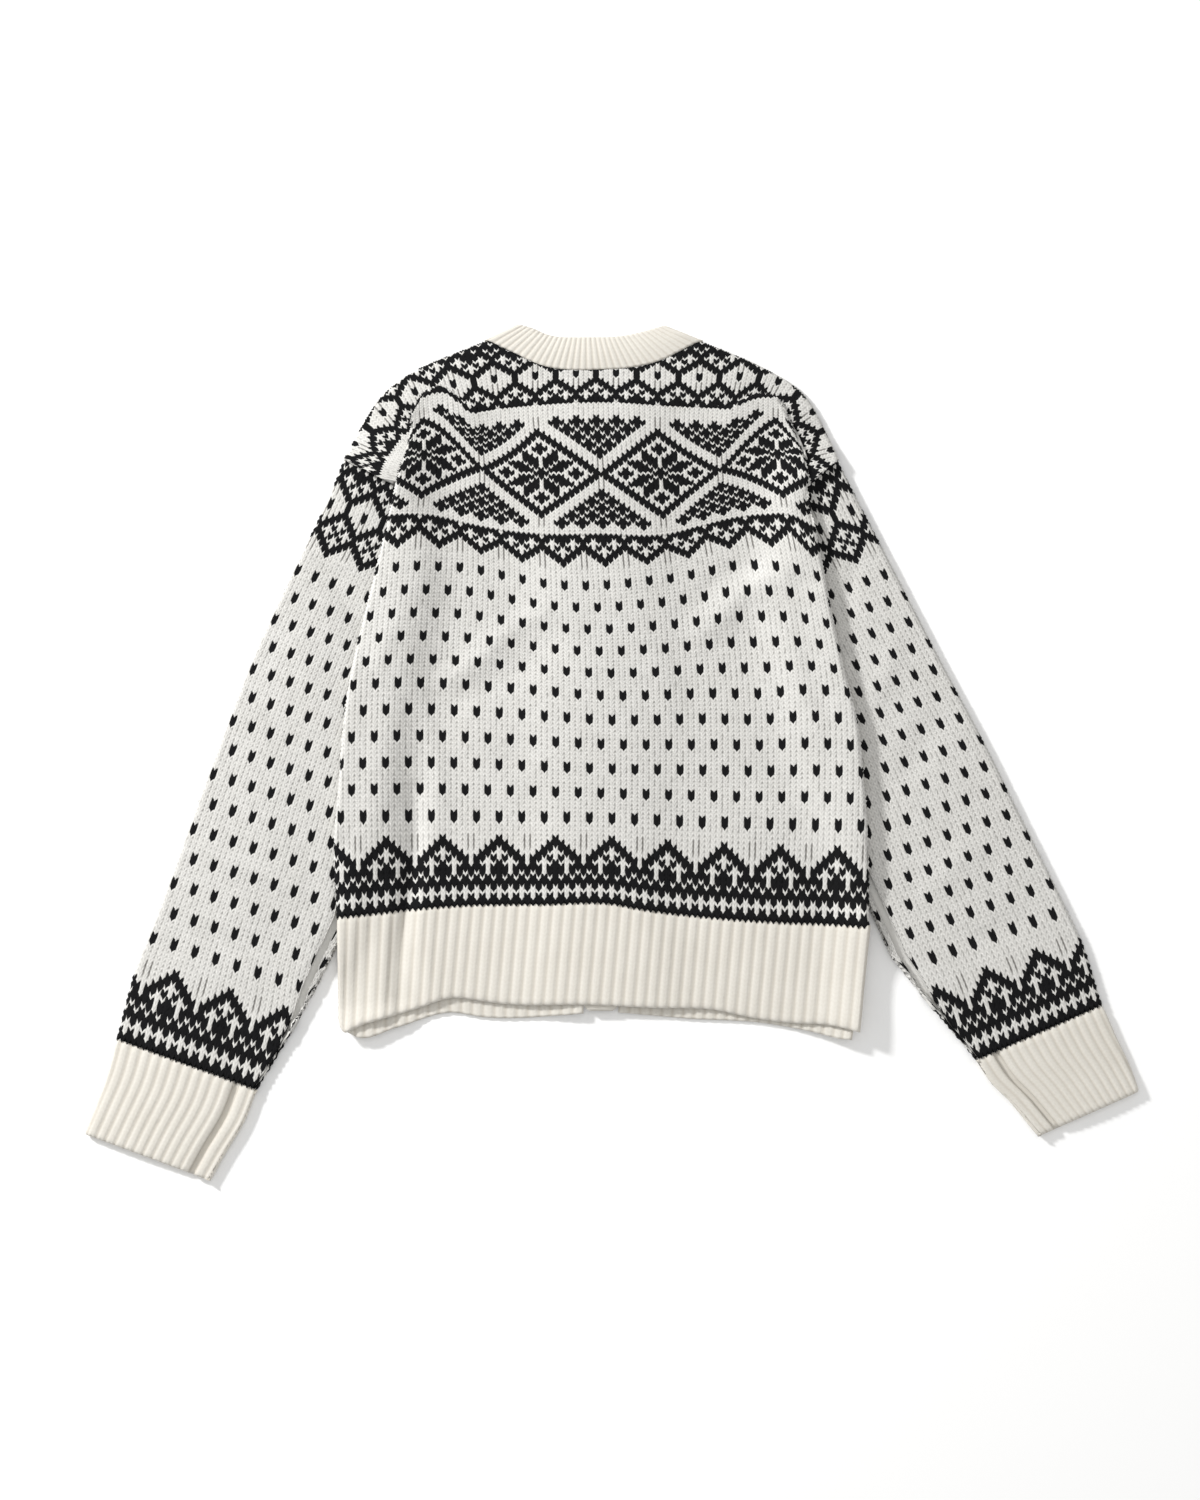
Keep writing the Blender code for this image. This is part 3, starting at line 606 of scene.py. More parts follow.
def closed_sheet(name, outer, inner, kept, kinds, materials, across, up, shade):
    """A closed sheet whose outer side is finer than its inner one.

    outer holds (rows * up + 1) by (columns * across + 1) points and inner (rows + 1) by (columns + 1).
    kept says which cells exist, and kinds gives each outer face's material.
    """
    fine = np.arange(outer.shape[0] * outer.shape[1]).reshape(outer.shape[:2])
    coarse = fine.size + np.arange(inner.shape[0] * inner.shape[1]).reshape(inner.shape[:2])
    cell = np.repeat(np.repeat(kept, up, 0), across, 1)
    quads, plain = quads_of(fine)[cell], quads_of(coarse)[kept][:, [0, 3, 2, 1]]
    faces = quads.tolist() + plain.tolist()
    marks = kinds[cell].tolist() + [0] * len(plain)
    padded = np.pad(kept, 1)
    for j, i in zip(*np.nonzero(kept)):
        a, b, c, d = coarse[j, i], coarse[j, i + 1], coarse[j + 1, i + 1], coarse[j + 1, i]
        wide = slice(i * across, (i + 1) * across + 1)
        tall = slice(j * up, (j + 1) * up + 1)
        for there, corners, edge in (
            (padded[j, i + 1], (a, b), fine[j * up, wide][::-1]),
            (padded[j + 2, i + 1], (c, d), fine[(j + 1) * up, wide]),
            (padded[j + 1, i], (d, a), fine[tall, i * across]),
            (padded[j + 1, i + 2], (b, c), fine[tall, (i + 1) * across][::-1]),
        ):
            if not there:
                faces.append([*corners, *edge])
                marks.append(kinds[j * up, i * across])
    points = np.concatenate([outer.reshape(-1, 3), inner.reshape(-1, 3)])
    # The plain inner side gets a little painted shade.
    tone = np.concatenate([shade.ravel(), np.full(inner[..., 0].size, 0.85)])
    used = np.unique(np.concatenate([quads.ravel(), plain.ravel()]))
    fresh = np.full(len(points), -1)
    fresh[used] = np.arange(len(used))
    faces = [fresh[face].tolist() for face in faces]
    return make_object(name, points[used], faces, marks, materials, tone[used], len(quads) + len(plain))


def normals_of(points):
    """Unit normals of a grid of points."""
    n = np.cross(np.gradient(points, axis=1), np.gradient(points, axis=0))
    return n / (np.linalg.norm(n, axis=-1, keepdims=True) + 1e-9)


# Across a stitch, at its left edge, left leg, middle and right leg.
LEG_PLACES = np.array([0.0, 0.28, 0.5, 0.72])
LEG_RELIEF = np.array([0.0, 1.0, 0.12, 1.0])
LEG_LIFT = np.array([0.72, 0.42, 0.0, 0.42])  # how far the legs rise over a row
LEG_DROP = 0.3  # the same at the middle, downwards
# LEG_SHADE is painted shade across a stitch, darker in its edge and middle grooves.
LEG_SHADE = np.array([0.8, 1.0, 0.86, 1.0])
MIDDLE_RELIEF = 0.62  # the surface lies at this share of the relief
JITTER = LOOSE.normal(0, 1, (340, 540, 3))


def tiled(part, count):
    """A stitch's values repeated along a row, closed with the first."""
    return np.append(np.tile(part, count), part[0])


def no_floats(edge, row):
    return np.zeros(np.shape(edge), bool)


def spread(marks, shape, up):
    """How far the fuller black yarn pushes the corners of its stitches over the white ones beside it."""
    j, i = np.meshgrid(np.arange(shape[0]), np.arange(shape[1]), indexing="ij")
    row, wale = np.minimum(j // up + 1, marks.shape[0] - 1), np.minimum(i // 4 + 1, marks.shape[1] - 1)
    below, left = np.where(j % up == 0, row - 1, row), np.where(i % 4 == 0, wale - 1, wale)
    across = (marks[row, left] + marks[below, left] - marks[row, wale] - marks[below, wale]) / 2
    along_row = (marks[below, wale] + marks[below, left] - marks[row, wale] - marks[row, left]) / 2
    return 0.12 * across, 0.2 * along_row


def knit(name, wales, rows, surface, black, keep, floats=no_floats, relief=STITCH_RELIEF, up=2, flip=False):
    """A sheet of stitches on a surface. wales and rows are the first and last whole numbers."""
    first, last = wales
    bottom, top = rows
    columns, tall = last - first + 1, top - bottom + 1
    u = np.append((first - 0.5 + np.arange(columns)[:, None] + LEG_PLACES).ravel(), last + 0.5)
    v = bottom - 0.5 + np.arange(tall * up + 1) / up
    U, V = np.meshgrid(u, v)
    around = black(*np.meshgrid(np.arange(first - 1, last + 2), np.arange(bottom - 1, top + 2))).astype(float)
    spread_u, spread_v = spread(around, U.shape, up)
    base = surface(U + spread_u, V + spread_v + tiled(LEG_LIFT, columns) - LEG_DROP)
    wide_u = np.concatenate([[u[0] - 0.25], u, [u[-1] + 0.25]])
    wide_v = np.concatenate([[v[0] - 0.5], v, [v[-1] + 0.5]])
    out = -1 if flip else 1
    normal = normals_of(surface(*np.meshgrid(wide_u, wide_v)))[1:-1, 1:-1] * out
    at_row = (np.arange(len(v)) % up == 0)[:, None]
    swell = np.where(at_row, 0.12, 1.0) if up > 1 else np.ones((len(v), 1))
    swell[0] = 0.7  # the first row laps over the rib
    loose = JITTER[2 * bottom + 2 :, 4 * first + 260 :][: U.shape[0], : U.shape[1]]
    height = relief * (tiled(LEG_RELIEF, columns) * swell * (1 + 0.1 * loose[..., 0]) - MIDDLE_RELIEF)
    outer = base + normal * height[..., None]
    outer[..., :2] += 0.07 * loose[..., 1:]
    # Painted shade darkens the grooves between the yarns and where the rows meet, more in random specks, and here
    # and there the black yarn behind shows in them as floats.
    shade = tiled(LEG_SHADE, columns) * np.where(at_row, 0.72, 1.0)
    side = np.arange(len(u)) % 4 == 0
    speck = side & (loose[..., 1] > 0.5)
    shade = np.where(speck, shade * (1 - 0.3 * np.clip(loose[..., 1], 0, 2)), shade)
    nearest_row = np.clip(np.round(V - 0.01), bottom, top).astype(int)
    shade = np.where(side & floats(np.round(U * 2) / 2, nearest_row), 0.04, shade)
    cu, cv = np.meshgrid(first - 0.5 + np.arange(columns + 1), bottom - 0.5 + np.arange(tall + 1))
    inner_base = surface(cu, cv + LEG_LIFT[0] - LEG_DROP)
    inner = inner_base - normals_of(inner_base) * out * SHEET_DEPTH
    W, R = np.meshgrid(np.arange(first, last + 1), np.arange(bottom, top + 1))
    kept = keep(W.astype(float), R.astype(float))
    kinds = np.repeat(np.repeat(black(W, R), up, 0), 4, 1).astype(int)
    if flip:
        outer, inner, kinds, kept, shade = (part[:, ::-1] for part in (outer, inner, kinds, kept, shade))
    return closed_sheet(name, outer, inner, kept, kinds, [ECRU, BLACK], 4, up, shade)


# Across a rib, from the middle of a purl valley over a knit wale.
RIB_PLACES = np.array([0.0, 0.20, 0.33, 0.5, 0.67, 0.80])
RIB_HEIGHTS = np.array([-1.0, -0.15, 0.62, 0.30, 0.62, -0.15])
RIB_LIFT = np.array([0.0, 0.30, 0.12, -0.18, 0.12, 0.30])
# RIB_SHADE is painted shade across a rib, darkest in the purl valley.
RIB_SHADE = np.array([0.6, 0.9, 1.0, 0.92, 1.0, 0.9])


def rib_side(count, rows, surface, relief, way, phase=0, seam=None):
    """One side of a 1x1 rib: raised wales of V stitches with purl valleys between.

    The rib runs in under the knit beside it where v is seam, and rounds off at its other end.
    """
    u = np.append((np.arange(count)[:, None] + RIB_PLACES).ravel(), count) / count
    shape, lift, tone = (tiled(np.roll(part, phase), count) for part in (RIB_HEIGHTS, RIB_LIFT, RIB_SHADE))
    v = np.arange(2 * rows + 1) / (2 * rows)
    U, V = np.meshgrid(u, v)
    shifted = V + lift / rows * np.minimum(1, np.minimum(V, 1 - V) * rows)
    base = surface(U, shifted)
    normal = normals_of(surface(U, V)) * way
    odd = (np.arange(len(v)) % 2)[:, None] > 0
    bulge = np.where(odd, 1.0, np.where(shape > 0, 0.42, 0.72))
    height = relief * 0.5 * shape * bulge * (1 + 0.08 * LOOSE.normal(0, 1, U.shape))
    if seam is not None:
        height = height - 1.1 * np.exp(-((np.abs(V - seam) * rows / 0.8) ** 2))
        height = height - 1.3 * np.clip(1 - np.abs(V - 1 + seam) * rows / 0.8, 0, 1) ** 2
    points = base + normal * height[..., None]
    points[..., :2] += LOOSE.normal(0, 0.06, U.shape + (2,))
    # tone is painted shade: darkest in the purl valleys and a little darker where the rows meet.
    return points, tone * np.where(odd, 1.0, 0.9), normal


def rib(name, count, rows, surface, relief=RIB_RELIEF, flip=False, depth=SHEET_DEPTH, seam=None):
    """A ribbed sheet with a plain inner side. The surface runs 0 to 1 each way."""
    out = -1 if flip else 1
    outer, shade, _ = rib_side(count, rows, surface, relief, out, 0, seam)
    inner_base = surface(*np.meshgrid(np.arange(count + 1) / count, np.arange(rows + 1) / rows))
    inner = inner_base - normals_of(inner_base) * out * (depth + (0.5 if seam is None else 0.9))
    if flip:
        outer, inner, shade = outer[:, ::-1], inner[:, ::-1], shade[:, ::-1]
    kept, kinds = np.ones((rows, count), bool), np.zeros((rows * 2, count * 6), int)
    return closed_sheet(name, outer, inner, kept, kinds, [CREAM], 6, 2, shade)


def rib_both(name, count, rows, surface, relief, wall=1.5):
    """A ribbed sheet that shows both its sides: a knit wale on one is a purl valley on the other."""
    upper, upper_shade, normal = rib_side(count, rows, surface, relief, 1)
    lower, lower_shade, _ = rib_side(count, rows, surface, relief, -1, 3)
    upper = upper + normal * wall / 2
    lower = lower - normal * wall / 2
    a = np.arange(upper[..., 0].size).reshape(upper.shape[:2])
    b = a + a.size
    top = quads_of(a).reshape(-1, 4)
    under = quads_of(b).reshape(-1, 4)[:, [0, 3, 2, 1]]
    edge = np.concatenate([a[0], a[1:, -1], a[-1, -2::-1], a[-2:0:-1, 0]])
    ring = np.stack([edge, edge + a.size], -1)
    after = np.roll(ring, -1, axis=0)
    rim = np.stack([ring[:, 1], after[:, 1], after[:, 0], ring[:, 0]], -1)
    faces = np.concatenate([top, under, rim]).tolist()
    points = np.concatenate([upper.reshape(-1, 3), lower.reshape(-1, 3)])
    shade = np.concatenate([upper_shade.ravel(), lower_shade.ravel()])
    return make_object(name, points, faces, np.zeros(len(faces), int), [CREAM], shade, len(top) + len(under))


# ---------------------------------------------------------------- the body's surface


def course(points):
    """A course as x, y and the length along it, carried on past its ends."""
    curve = smooth(points, 200)
    first, last = curve[0] - (curve[3] - curve[0]) * 12, curve[-1] + (curve[-1] - curve[-4]) * 12
    curve = np.concatenate([[first], curve, [last]])
    return curve[:, 0], curve[:, 1], reach_of(curve)


COURSE_ROWS = np.array([row for row, _ in COURSES], float)
COURSE_CURVES = [course(points) for _, points in COURSES]


def body_flat(wale, row):
    """Where a place of the back's cloth lies, seen from above, without the shoulders."""
    centre, pitch = read(WALES, row)
    places = []
    for xs, ys, reach in COURSE_CURVES:
        at = np.interp(centre, xs, reach) + wale * pitch
        places.append((np.interp(at, reach, xs), np.interp(at, reach, ys)))
    k = cell_of(COURSE_ROWS, row)
    t = (row - COURSE_ROWS[k]) / (COURSE_ROWS[k + 1] - COURSE_ROWS[k])
    low, high = (np.take_along_axis(np.array(places), (k + step)[None, None], 0)[0] for step in (0, 1))
    return low + (high - low) * t


def shoulder_flat(wale, row):
    x, y, dx, dy, tall = read(SHOULDER_WALES, wale)
    long = np.hypot(dx, dy)
    reach = (row - 136) * tall
    return x + dx / long * reach, y + dy / long * reach


def blended_flat(wale, row):
    x, y = body_flat(wale, row)
    sx, sy = shoulder_flat(wale, row)
    share = ease((row - 114) / 13.5) * ease((31 - np.abs(wale)) / 7)
    return x + (sx - x) * share, y + (sy - y) * share


BODY_OUTLINE = SIDE_LEFT + FOLD_LEFT[1:], FOLD_RIGHT + SIDE_RIGHT[::-1][1:]
TORSO_LOOP = np.array(BODY_OUTLINE[0] + ((-97, 330), (72, 330)) + BODY_OUTLINE[1])
ARC_LOOP = np.array(BODY_OUTLINE[0] + BODY_OUTLINE[1])
BODY_EDGES = line(BODY_OUTLINE[0], 90), line(SIDE_RIGHT + FOLD_RIGHT[::-1][1:], 90)
SHOULDER_EDGES = line(((-237, 211),) + SHOULDER_LEFT, 24), line(SHOULDER_RIGHT + ((203, 207),), 24)
SHOULDER_LOOP = np.array(
    SHOULDER_EDGES[0] + [(-97, 420), (72, 420)] + SHOULDER_EDGES[1] + [(150, 100), (-150, 100)]
)
ARMHOLES = (((-223, 242), (-172, 214)), ((189, 242), (152, 211)))
NECK_EDGE = smooth(NECK_SEAM, 40).T
NECK_ENDS = -102, 72


def from_edge(x, y):
    """Distance to the body's rolled edges, positive inside, with its foot."""
    return signed(x, y, BODY_EDGES, TORSO_LOOP)


def roll_under(x, y, z, d, fx, fy, radius, drop):
    """Turns cloth that runs past an edge down and back under it. d is positive inside the edge."""
    past = np.clip(radius - d, 0, None)
    turn = math.pi * 0.93
    angle = np.minimum(past / radius, turn)
    inward = radius - radius * np.sin(angle) + np.clip(past - turn * radius, 0, None)
    scale = np.where(np.abs(d) > 1e-6, np.sign(d) / np.maximum(np.abs(d), 1e-6), 0) * inward
    moved = past > 0
    x, y = np.where(moved, fx + (x - fx) * scale, x), np.where(moved, fy + (y - fy) * scale, y)
    return x, y, z - drop * (1 - np.cos(angle)) * moved


def body_mask(x, y):
    return from_edge(x, y)[0] > 1.5


def strip_mask(x, y):
    outside = ~inside(x, y, ARC_LOOP).reshape(x.shape)
    return outside & (np.abs(from_edge(x, y)[0]) > 3) & (y > 215)


TORSO_TOP = Heights(("back", "back_hem_rib"), body_mask)
STRIP_TOP = Heights(("back",), strip_mask, passes=3)


def off_centre(x):
    """0 in the middle of the shoulders and 1 where they are folded."""
    return ease((np.abs(x - CENTRE_X) - 84) / 22)


def torso(wale, row):
    """The back below the shoulders: it rolls under at its sides and at the folds of the shoulders."""
    x, y = blended_flat(wale, row)
    d, fx, fy = from_edge(x, y)
    raised = lifted(x, y)
    z = TORSO_TOP.at(x, y) + creases(x, y, BODY_CREASES) * ease(d / 12) + raised
    drop = np.clip(off_centre(x) + ease((255 - y) / 20), 0, 1) * (2.6 + 0.5 * raised)
    return np.stack(roll_under(x, y, z, d, fx, fy, 3.0, drop), -1)


def past_armhole(x, y):
    """How far a place of the shoulder strips lies past the seam of the nearer sleeve."""
    left, right = (
        ((x - ax) * (by - ay) - (y - ay) * (bx - ax)) / math.hypot(bx - ax, by - ay)
        for (ax, ay), (bx, by) in ARMHOLES
    )
    return np.where(x < CENTRE_X, left, -right)


def shoulders(wale, row):
    """The top of the back, between the shoulder folds, and the strips outside them."""
    x, y = shoulder_flat(wale, row)
    d, fx, fy = signed(x, y, SHOULDER_EDGES, SHOULDER_LOOP)
    share = off_centre(x)
    z = TORSO_TOP.at(x, y) * (1 - share) + STRIP_TOP.at(x, y) * share
    x, y, z = roll_under(x, y, z, d, fx, fy, 2.8, 2.0)
    # The last rows dive below the neckband, and beside the sleeves' seams.
    over = y - np.interp(x, *NECK_EDGE) + 1
    at_neck = (x > NECK_ENDS[0] - 1) & (x < NECK_ENDS[1] + 1) & (over > 0)
    y = np.where(at_neck, y - over + 1.5 * (1 - np.exp(-over / 4)), y)
    z = z - np.where(at_neck, 0.35 * np.clip(over, 0, 4), 0)
    past = past_armhole(x, y) + 1
    for (ax, ay), (bx, by), way in ((*ARMHOLES[0], 1), (*ARMHOLES[1], -1)):
        here = (past > 0) & ((x < CENTRE_X) == (way > 0))
        back = np.where(here, past - 1.5 * (1 - np.exp(-past / 4)), 0) * way / math.hypot(bx - ax, by - ay)
        x, y = x - back * (by - ay), y + back * (bx - ax)
    return np.stack([x, y, z - 0.35 * np.clip(past, 0, 4)], -1)


# ---------------------------------------------------------------- flattened tubes


def crossing(x, y, dx, dy, path):
    """How far from (x, y) along (dx, dy) a path is met."""
    best = np.full(np.shape(x), 1e9)
    for (ax, ay), (bx, by) in zip(path, path[1:]):
        ex, ey = bx - ax, by - ay
        cross = dx * ey - dy * ex
        cross = np.where(np.abs(cross) < 1e-9, 1e-9, cross)
        t = ((ax - x) * ey - (ay - y) * ex) / cross
        s = ((ax - x) * dy - (ay - y) * dx) / cross
        best = np.where((s >= 0) & (s <= 1) & (t > 0) & (t < best), t, best)
    return best


QUARTER = math.pi * TUBE_RADIUS / 2  # a quarter turn at a tube's edge


def tube_seam(width, seam_in):
    """Where round a flattened tube its seam lies, and the way all round."""
    flat = width - 2 * TUBE_RADIUS
    return 2 * QUARTER + flat - seam_in, 2 * flat + 4 * QUARTER


def tube_point(p, origin, across, width, crease_table, seam_in, seam_depth):
    """A place on a flattened tube: p runs from its outer edge over the top, and below 0 over the bottom."""
    r = TUBE_RADIUS
    far = width - r  # where the turn at the inner edge starts
    to_far = QUARTER + width - 2 * r
    turn, back_turn = (p - to_far) / r, (-p - to_far) / r
    beyond = -p - to_far - 2 * QUARTER  # on over the top, to the seam
    where = (
        beyond >= QUARTER,
        beyond > 0,
        p < -to_far,
        p < -QUARTER,
        np.abs(p) <= QUARTER,
        p <= to_far,
    )
    s = np.select(where, (
        far - beyond + QUARTER,
        far + r * np.cos(beyond / r),
        far + r * np.sin(back_turn),
        r - p - QUARTER,
        r * (1 - np.cos(p / r)),
        r + p - QUARTER,
    ), far + r * np.sin(turn))
    z = np.select(where, (
        2 * r,
        r + r * np.sin(beyond / r),
        r - r * np.cos(np.minimum(back_turn, math.pi)),
        0,
        r + r * np.sin(p / r),
        2 * r,
    ), r + r * np.cos(turn))
    top = z > r
    crown = SLEEVE_CROWN * np.sin(math.pi * np.clip(np.clip(s / width, 0, 1) / 0.72, 0, 1))
    z = z + np.where(top, crown * (z - r) / r, 0)
    x, y = (start + way * s for start, way in zip(origin, across))
    z = z + 0.3 * np.clip(1 - z / r, 0, 1)  # the stitches below clear the floor
    z = z + np.where(top, creases(x, y, crease_table) * (z - r) / r, 0) + 0.55
    deep = seam_depth * ease((seam_in - 4) / 8)
    groove = np.where(top, deep * np.exp(-(((width - s - seam_in) / 2.2) ** 2)), 0)
    return np.stack([x, y, z - groove], -1)


def sleeve_surface(table, inner, folds, way):
    """way is 1 where the wales count from the outer edge inwards with growing numbers."""

    def place(wale, row):
        ox, oy, dx, dy, pitch = read(table, row)
        long = np.hypot(dx, dy)
        across = dx / long, dy / long
        width = crossing(ox, oy, *across, inner)
        seam_in = np.interp(row, *np.array(UNDERARM).T)
        p = (way * wale + np.interp(row, *EDGE_WALES[way])) * pitch
        return p, (ox, oy), across, width, seam_in, *tube_seam(width, seam_in)

    def at(wale, row):
        p, origin, across, width, seam_in, seam, around = place(wale, row)
        soft = 4.0
        p = np.where(p > seam - soft, seam - soft * np.exp(-(p - seam + soft) / soft), p)
        other = seam - around
        p = np.where(p < other + soft, other + soft * np.exp((p - other - soft) / soft), p)
        return tube_point(p, origin, across, width, folds, seam_in, 0.4)

    def keep(wale, row):
        p, _, _, _, _, seam, around = place(wale, row)
        return (p < seam + 4) & (p > seam - around - 4)

    return at, keep


def cuff_surface(table):
    def at(u, v):
        ox, oy, dx, dy, width = read(table, v)
        long = np.hypot(dx, dy)
        seam, around = tube_seam(width, CUFF_SEAM)
        return tube_point(seam - u * around, (ox, oy), (dx / long, dy / long), width, (), CUFF_SEAM, 0.9)

    return at


# ---------------------------------------------------------------- materials


def new_material(name):
    """A material, its shader, and a function that adds a node with some inputs set."""
    material = bpy.data.materials.new(name)
    material.use_nodes = True
    nodes = material.node_tree.nodes

    def add(kind, **inputs):
        node = nodes.new("ShaderNode" + kind)
        for key, value in inputs.items():
            node.inputs[key].default_value = value
        return node

    return material, nodes["Principled BSDF"], add


def connect(material, *pairs):
    for (start, output), (end, place) in pairs:
        material.node_tree.links.new(start.outputs[output], end.inputs[place])


def set_ramp(ramp, *stops):
    for element, (position, colour) in zip(ramp.color_ramp.elements, stops):
        element.position = position
        element.color = (*colour, 1)


def yarn(name, colour, deep, shade_and_float_colour, sheen):
    """Wool: cloudy colour, darker between the fibres, with painted shade in the grooves and a fine fibre bump."""
    material, shader, add = new_material(name)
    looks = {"Roughness": 0.95, "Specular IOR Level": 0.15, "Sheen Weight": sheen, "Sheen Roughness": 0.6}
    for key, value in looks.items():
        shader.inputs[key].default_value = value
    place = add("TexCoord")
    clouds = add("TexNoise", Scale=45, Detail=3)
    fibres = add("TexNoise", Scale=1300, Detail=4, Roughness=0.75, Distortion=1.2)
    ramp = add("ValToRGB")
    set_ramp(ramp, (0.3, deep), (0.68, colour))
    faint, both = add("Math"), add("Math")
    faint.operation, both.operation = "MULTIPLY", "MULTIPLY_ADD"
    faint.inputs[1].default_value = 0.35
    both.inputs[1].default_value = 0.65
    bump = add("Bump", Strength=0.6, Distance=0.0006)
    groove = add("Attribute")
    groove.attribute_name = "shade"
    # Where the shade attribute is low, the colour turns to the painted shade colour. On the ecru yarn this is also
    # the colour of the black floats.
    mix = add("Mix")
    mix.data_type = "RGBA"
    mix.inputs["A"].default_value = (*shade_and_float_colour, 1)
    connect(
        material,
        ((groove, "Fac"), (mix, "Factor")),
        ((ramp, "Color"), (mix, "B")),
        ((place, "Object"), (clouds, "Vector")),
        ((place, "Object"), (fibres, "Vector")),
        ((clouds, "Fac"), (faint, 0)),
        ((fibres, "Fac"), (both, 0)),
        ((faint, "Value"), (both, 2)),
        ((both, "Value"), (ramp, "Fac")),
        ((mix, "Result"), (shader, "Base Color")),
        ((fibres, "Fac"), (bump, "Height")),
        ((bump, "Normal"), (shader, "Normal")),
    )
    return material


def horn(name):
    material, shader, add = new_material(name)
    shader.inputs["Roughness"].default_value = 0.35
    place = add("TexCoord")
    streaks = add("TexNoise", Scale=160, Distortion=2.5)
    ramp = add("ValToRGB")
    set_ramp(ramp, (0.35, (0.012, 0.010, 0.009)), (0.7, (0.05, 0.038, 0.03)))
    bump = add("Bump", Strength=0.15, Distance=0.0002)
    connect(
        material,
        ((place, "Object"), (streaks, "Vector")),
        ((streaks, "Fac"), (ramp, "Fac")),
        ((ramp, "Color"), (shader, "Base Color")),
        ((streaks, "Fac"), (bump, "Height")),
        ((bump, "Normal"), (shader, "Normal")),
    )
    return material


# The third colour of each yarn is its painted shade in the grooves. On the ecru yarn it also colours the black
# floats.
ECRU = yarn("ecru_yarn", (0.90, 0.888, 0.855), (0.80, 0.787, 0.745), (0.10, 0.092, 0.082), 0.12)
CREAM = yarn("cream_rib_yarn", (0.78, 0.752, 0.69), (0.70, 0.668, 0.602), (0.46, 0.405, 0.325), 0.12)
BLACK = yarn("black_yarn", (0.012, 0.012, 0.013), (0.005, 0.005, 0.006), (0.003, 0.003, 0.003), 0.02)
HORN = horn("dark_horn")

# ---------------------------------------------------------------- the pieces


def finish_piece(obj, slot, flat, area, rests_on, *nodes):
    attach(obj, "root")
    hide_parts(*nodes)


def shown_torso(wale, row):
    """Cells of the back's lower sheet: not past its rolled edges, nor above its top row."""
    d, _, _ = from_edge(*blended_flat(wale, row))
    return (d > -9) & ((row <= 127) | ((np.abs(wale) >= 25) & (np.abs(wale) < 42)))


def shown_shoulders(wale, row):
    x, y = shoulder_flat(wale, row)
    d, _, _ = signed(x, y, SHOULDER_EDGES, SHOULDER_LOOP)
    below_neck = (y < np.interp(x, *NECK_EDGE) + 4) | (x < NECK_ENDS[0]) | (x > NECK_ENDS[1])
    outer = (np.abs(wale) > 24) & ~((from_edge(x, y)[0] > 9) & (np.abs(x - CENTRE_X) > 100))
    centre = (np.abs(wale) <= 24) & (row >= 128)
    return (d > -7) & below_neck & (outer | centre) & (past_armhole(x, y) < 4)


for name, wales, rows, surface, shown, flat, area in (
    ("back_field", (-51, 49), (0, 90), torso, shown_torso, (0.47, 0.335), None),
    ("back_yoke", (-51, 49), (91, 131), torso, shown_torso, (0.40, 0.13), None),
    ("back_shoulders", (-60, 60), (122, 150), shoulders, shown_shoulders, (0.44, 0.09), 0.024),
):
    cloth = knit(name, wales, rows, surface, body_black, shown, body_floats)
    finish_piece(cloth, "patterned_knit", flat, area, ["front_left", "front_right"], "back")

RIB_LAP = 0.6  # a hem rib ends this far below the line of its seam


def ruled(low, high):
    """Places between two lines of as many points, seen from above. u and v run from 0 to 1."""
    places = np.linspace(0, 1, len(low))

    def at(u, v):
        ax, ay, bx, by = (np.interp(u, places, part) for part in (*low.T, *high.T))
        return ax + (bx - ax) * v, ay + (by - ay) * v

    return at


def back_hem_surface():
    flat = ruled(smooth(BACK_HEM, 200), smooth(RIB_SEAM, 200) - [0, RIB_LAP])

    def at(u, v):
        x, y = flat(u, v)
        z = TORSO_TOP.at(x, y) + creases(x, y, BODY_CREASES) + lifted(x, y)
        edge = np.minimum(u, 1 - u) * BODY_WIDTH
        z = z - 2.4 * (1 - np.sqrt(1 - np.clip(1 - edge / 2.6, 0, 1) ** 2)) - 0.2
        return np.stack([x, y, z], -1)

    return at


hem = rib("back_hem_rib_knit", 47, 22, back_hem_surface(), seam=1)
finish_piece(hem, "cream_rib", (0.44, 0.086), None, ["front_left_hem_rib", "front_right_hem_rib"], "back_hem_rib")

for side, table, inner, folds, cuff_table, way, ribs in (
    ("left", SLEEVE_LEFT, INNER_LEFT, SLEEVE_CREASES_LEFT, CUFF_LEFT, 1, 28),
    ("right", SLEEVE_RIGHT, INNER_RIGHT, SLEEVE_CREASES_RIGHT, CUFF_RIGHT, -1, 31),
):
    surface, keep = sleeve_surface(table, inner, folds, way)
    wales = (-60, 26) if way > 0 else (-26, 60)
    sleeve = knit("sleeve_%s_knit" % side, wales, (0, 128), surface, sleeve_black, keep, sleeve_floats)
    finish_piece(sleeve, "patterned_knit", (0.29, 0.52), None, ["table"], "sleeve_" + side)
    cuff = rib("cuff_%s_knit" % side, ribs, 22, cuff_surface(cuff_table), flip=way < 0, seam=0)
    finish_piece(cuff, "cream_rib", (0.235, 0.085), None, ["table"], "cuff_" + side)


def band_edge(side):
    return CENTRE_X + side * (BAND_WIDTH / 2 + 0.3)


def front_neck(side):
    """The front neck seam, from the band up to the shoulder."""
    top = SHOULDER_LEFT[-1] if side < 0 else SHOULDER_RIGHT[0]
    start = CENTRE_X + side * BAND_WIDTH / 2
    turn = np.linspace(0, math.pi / 2, 13)
    return np.stack([start + (top[0] - start) * np.sin(turn),
                     FRONT_NECK_DROP_Y + (top[1] - FRONT_NECK_DROP_Y) * (1 - np.cos(turn))], -1)


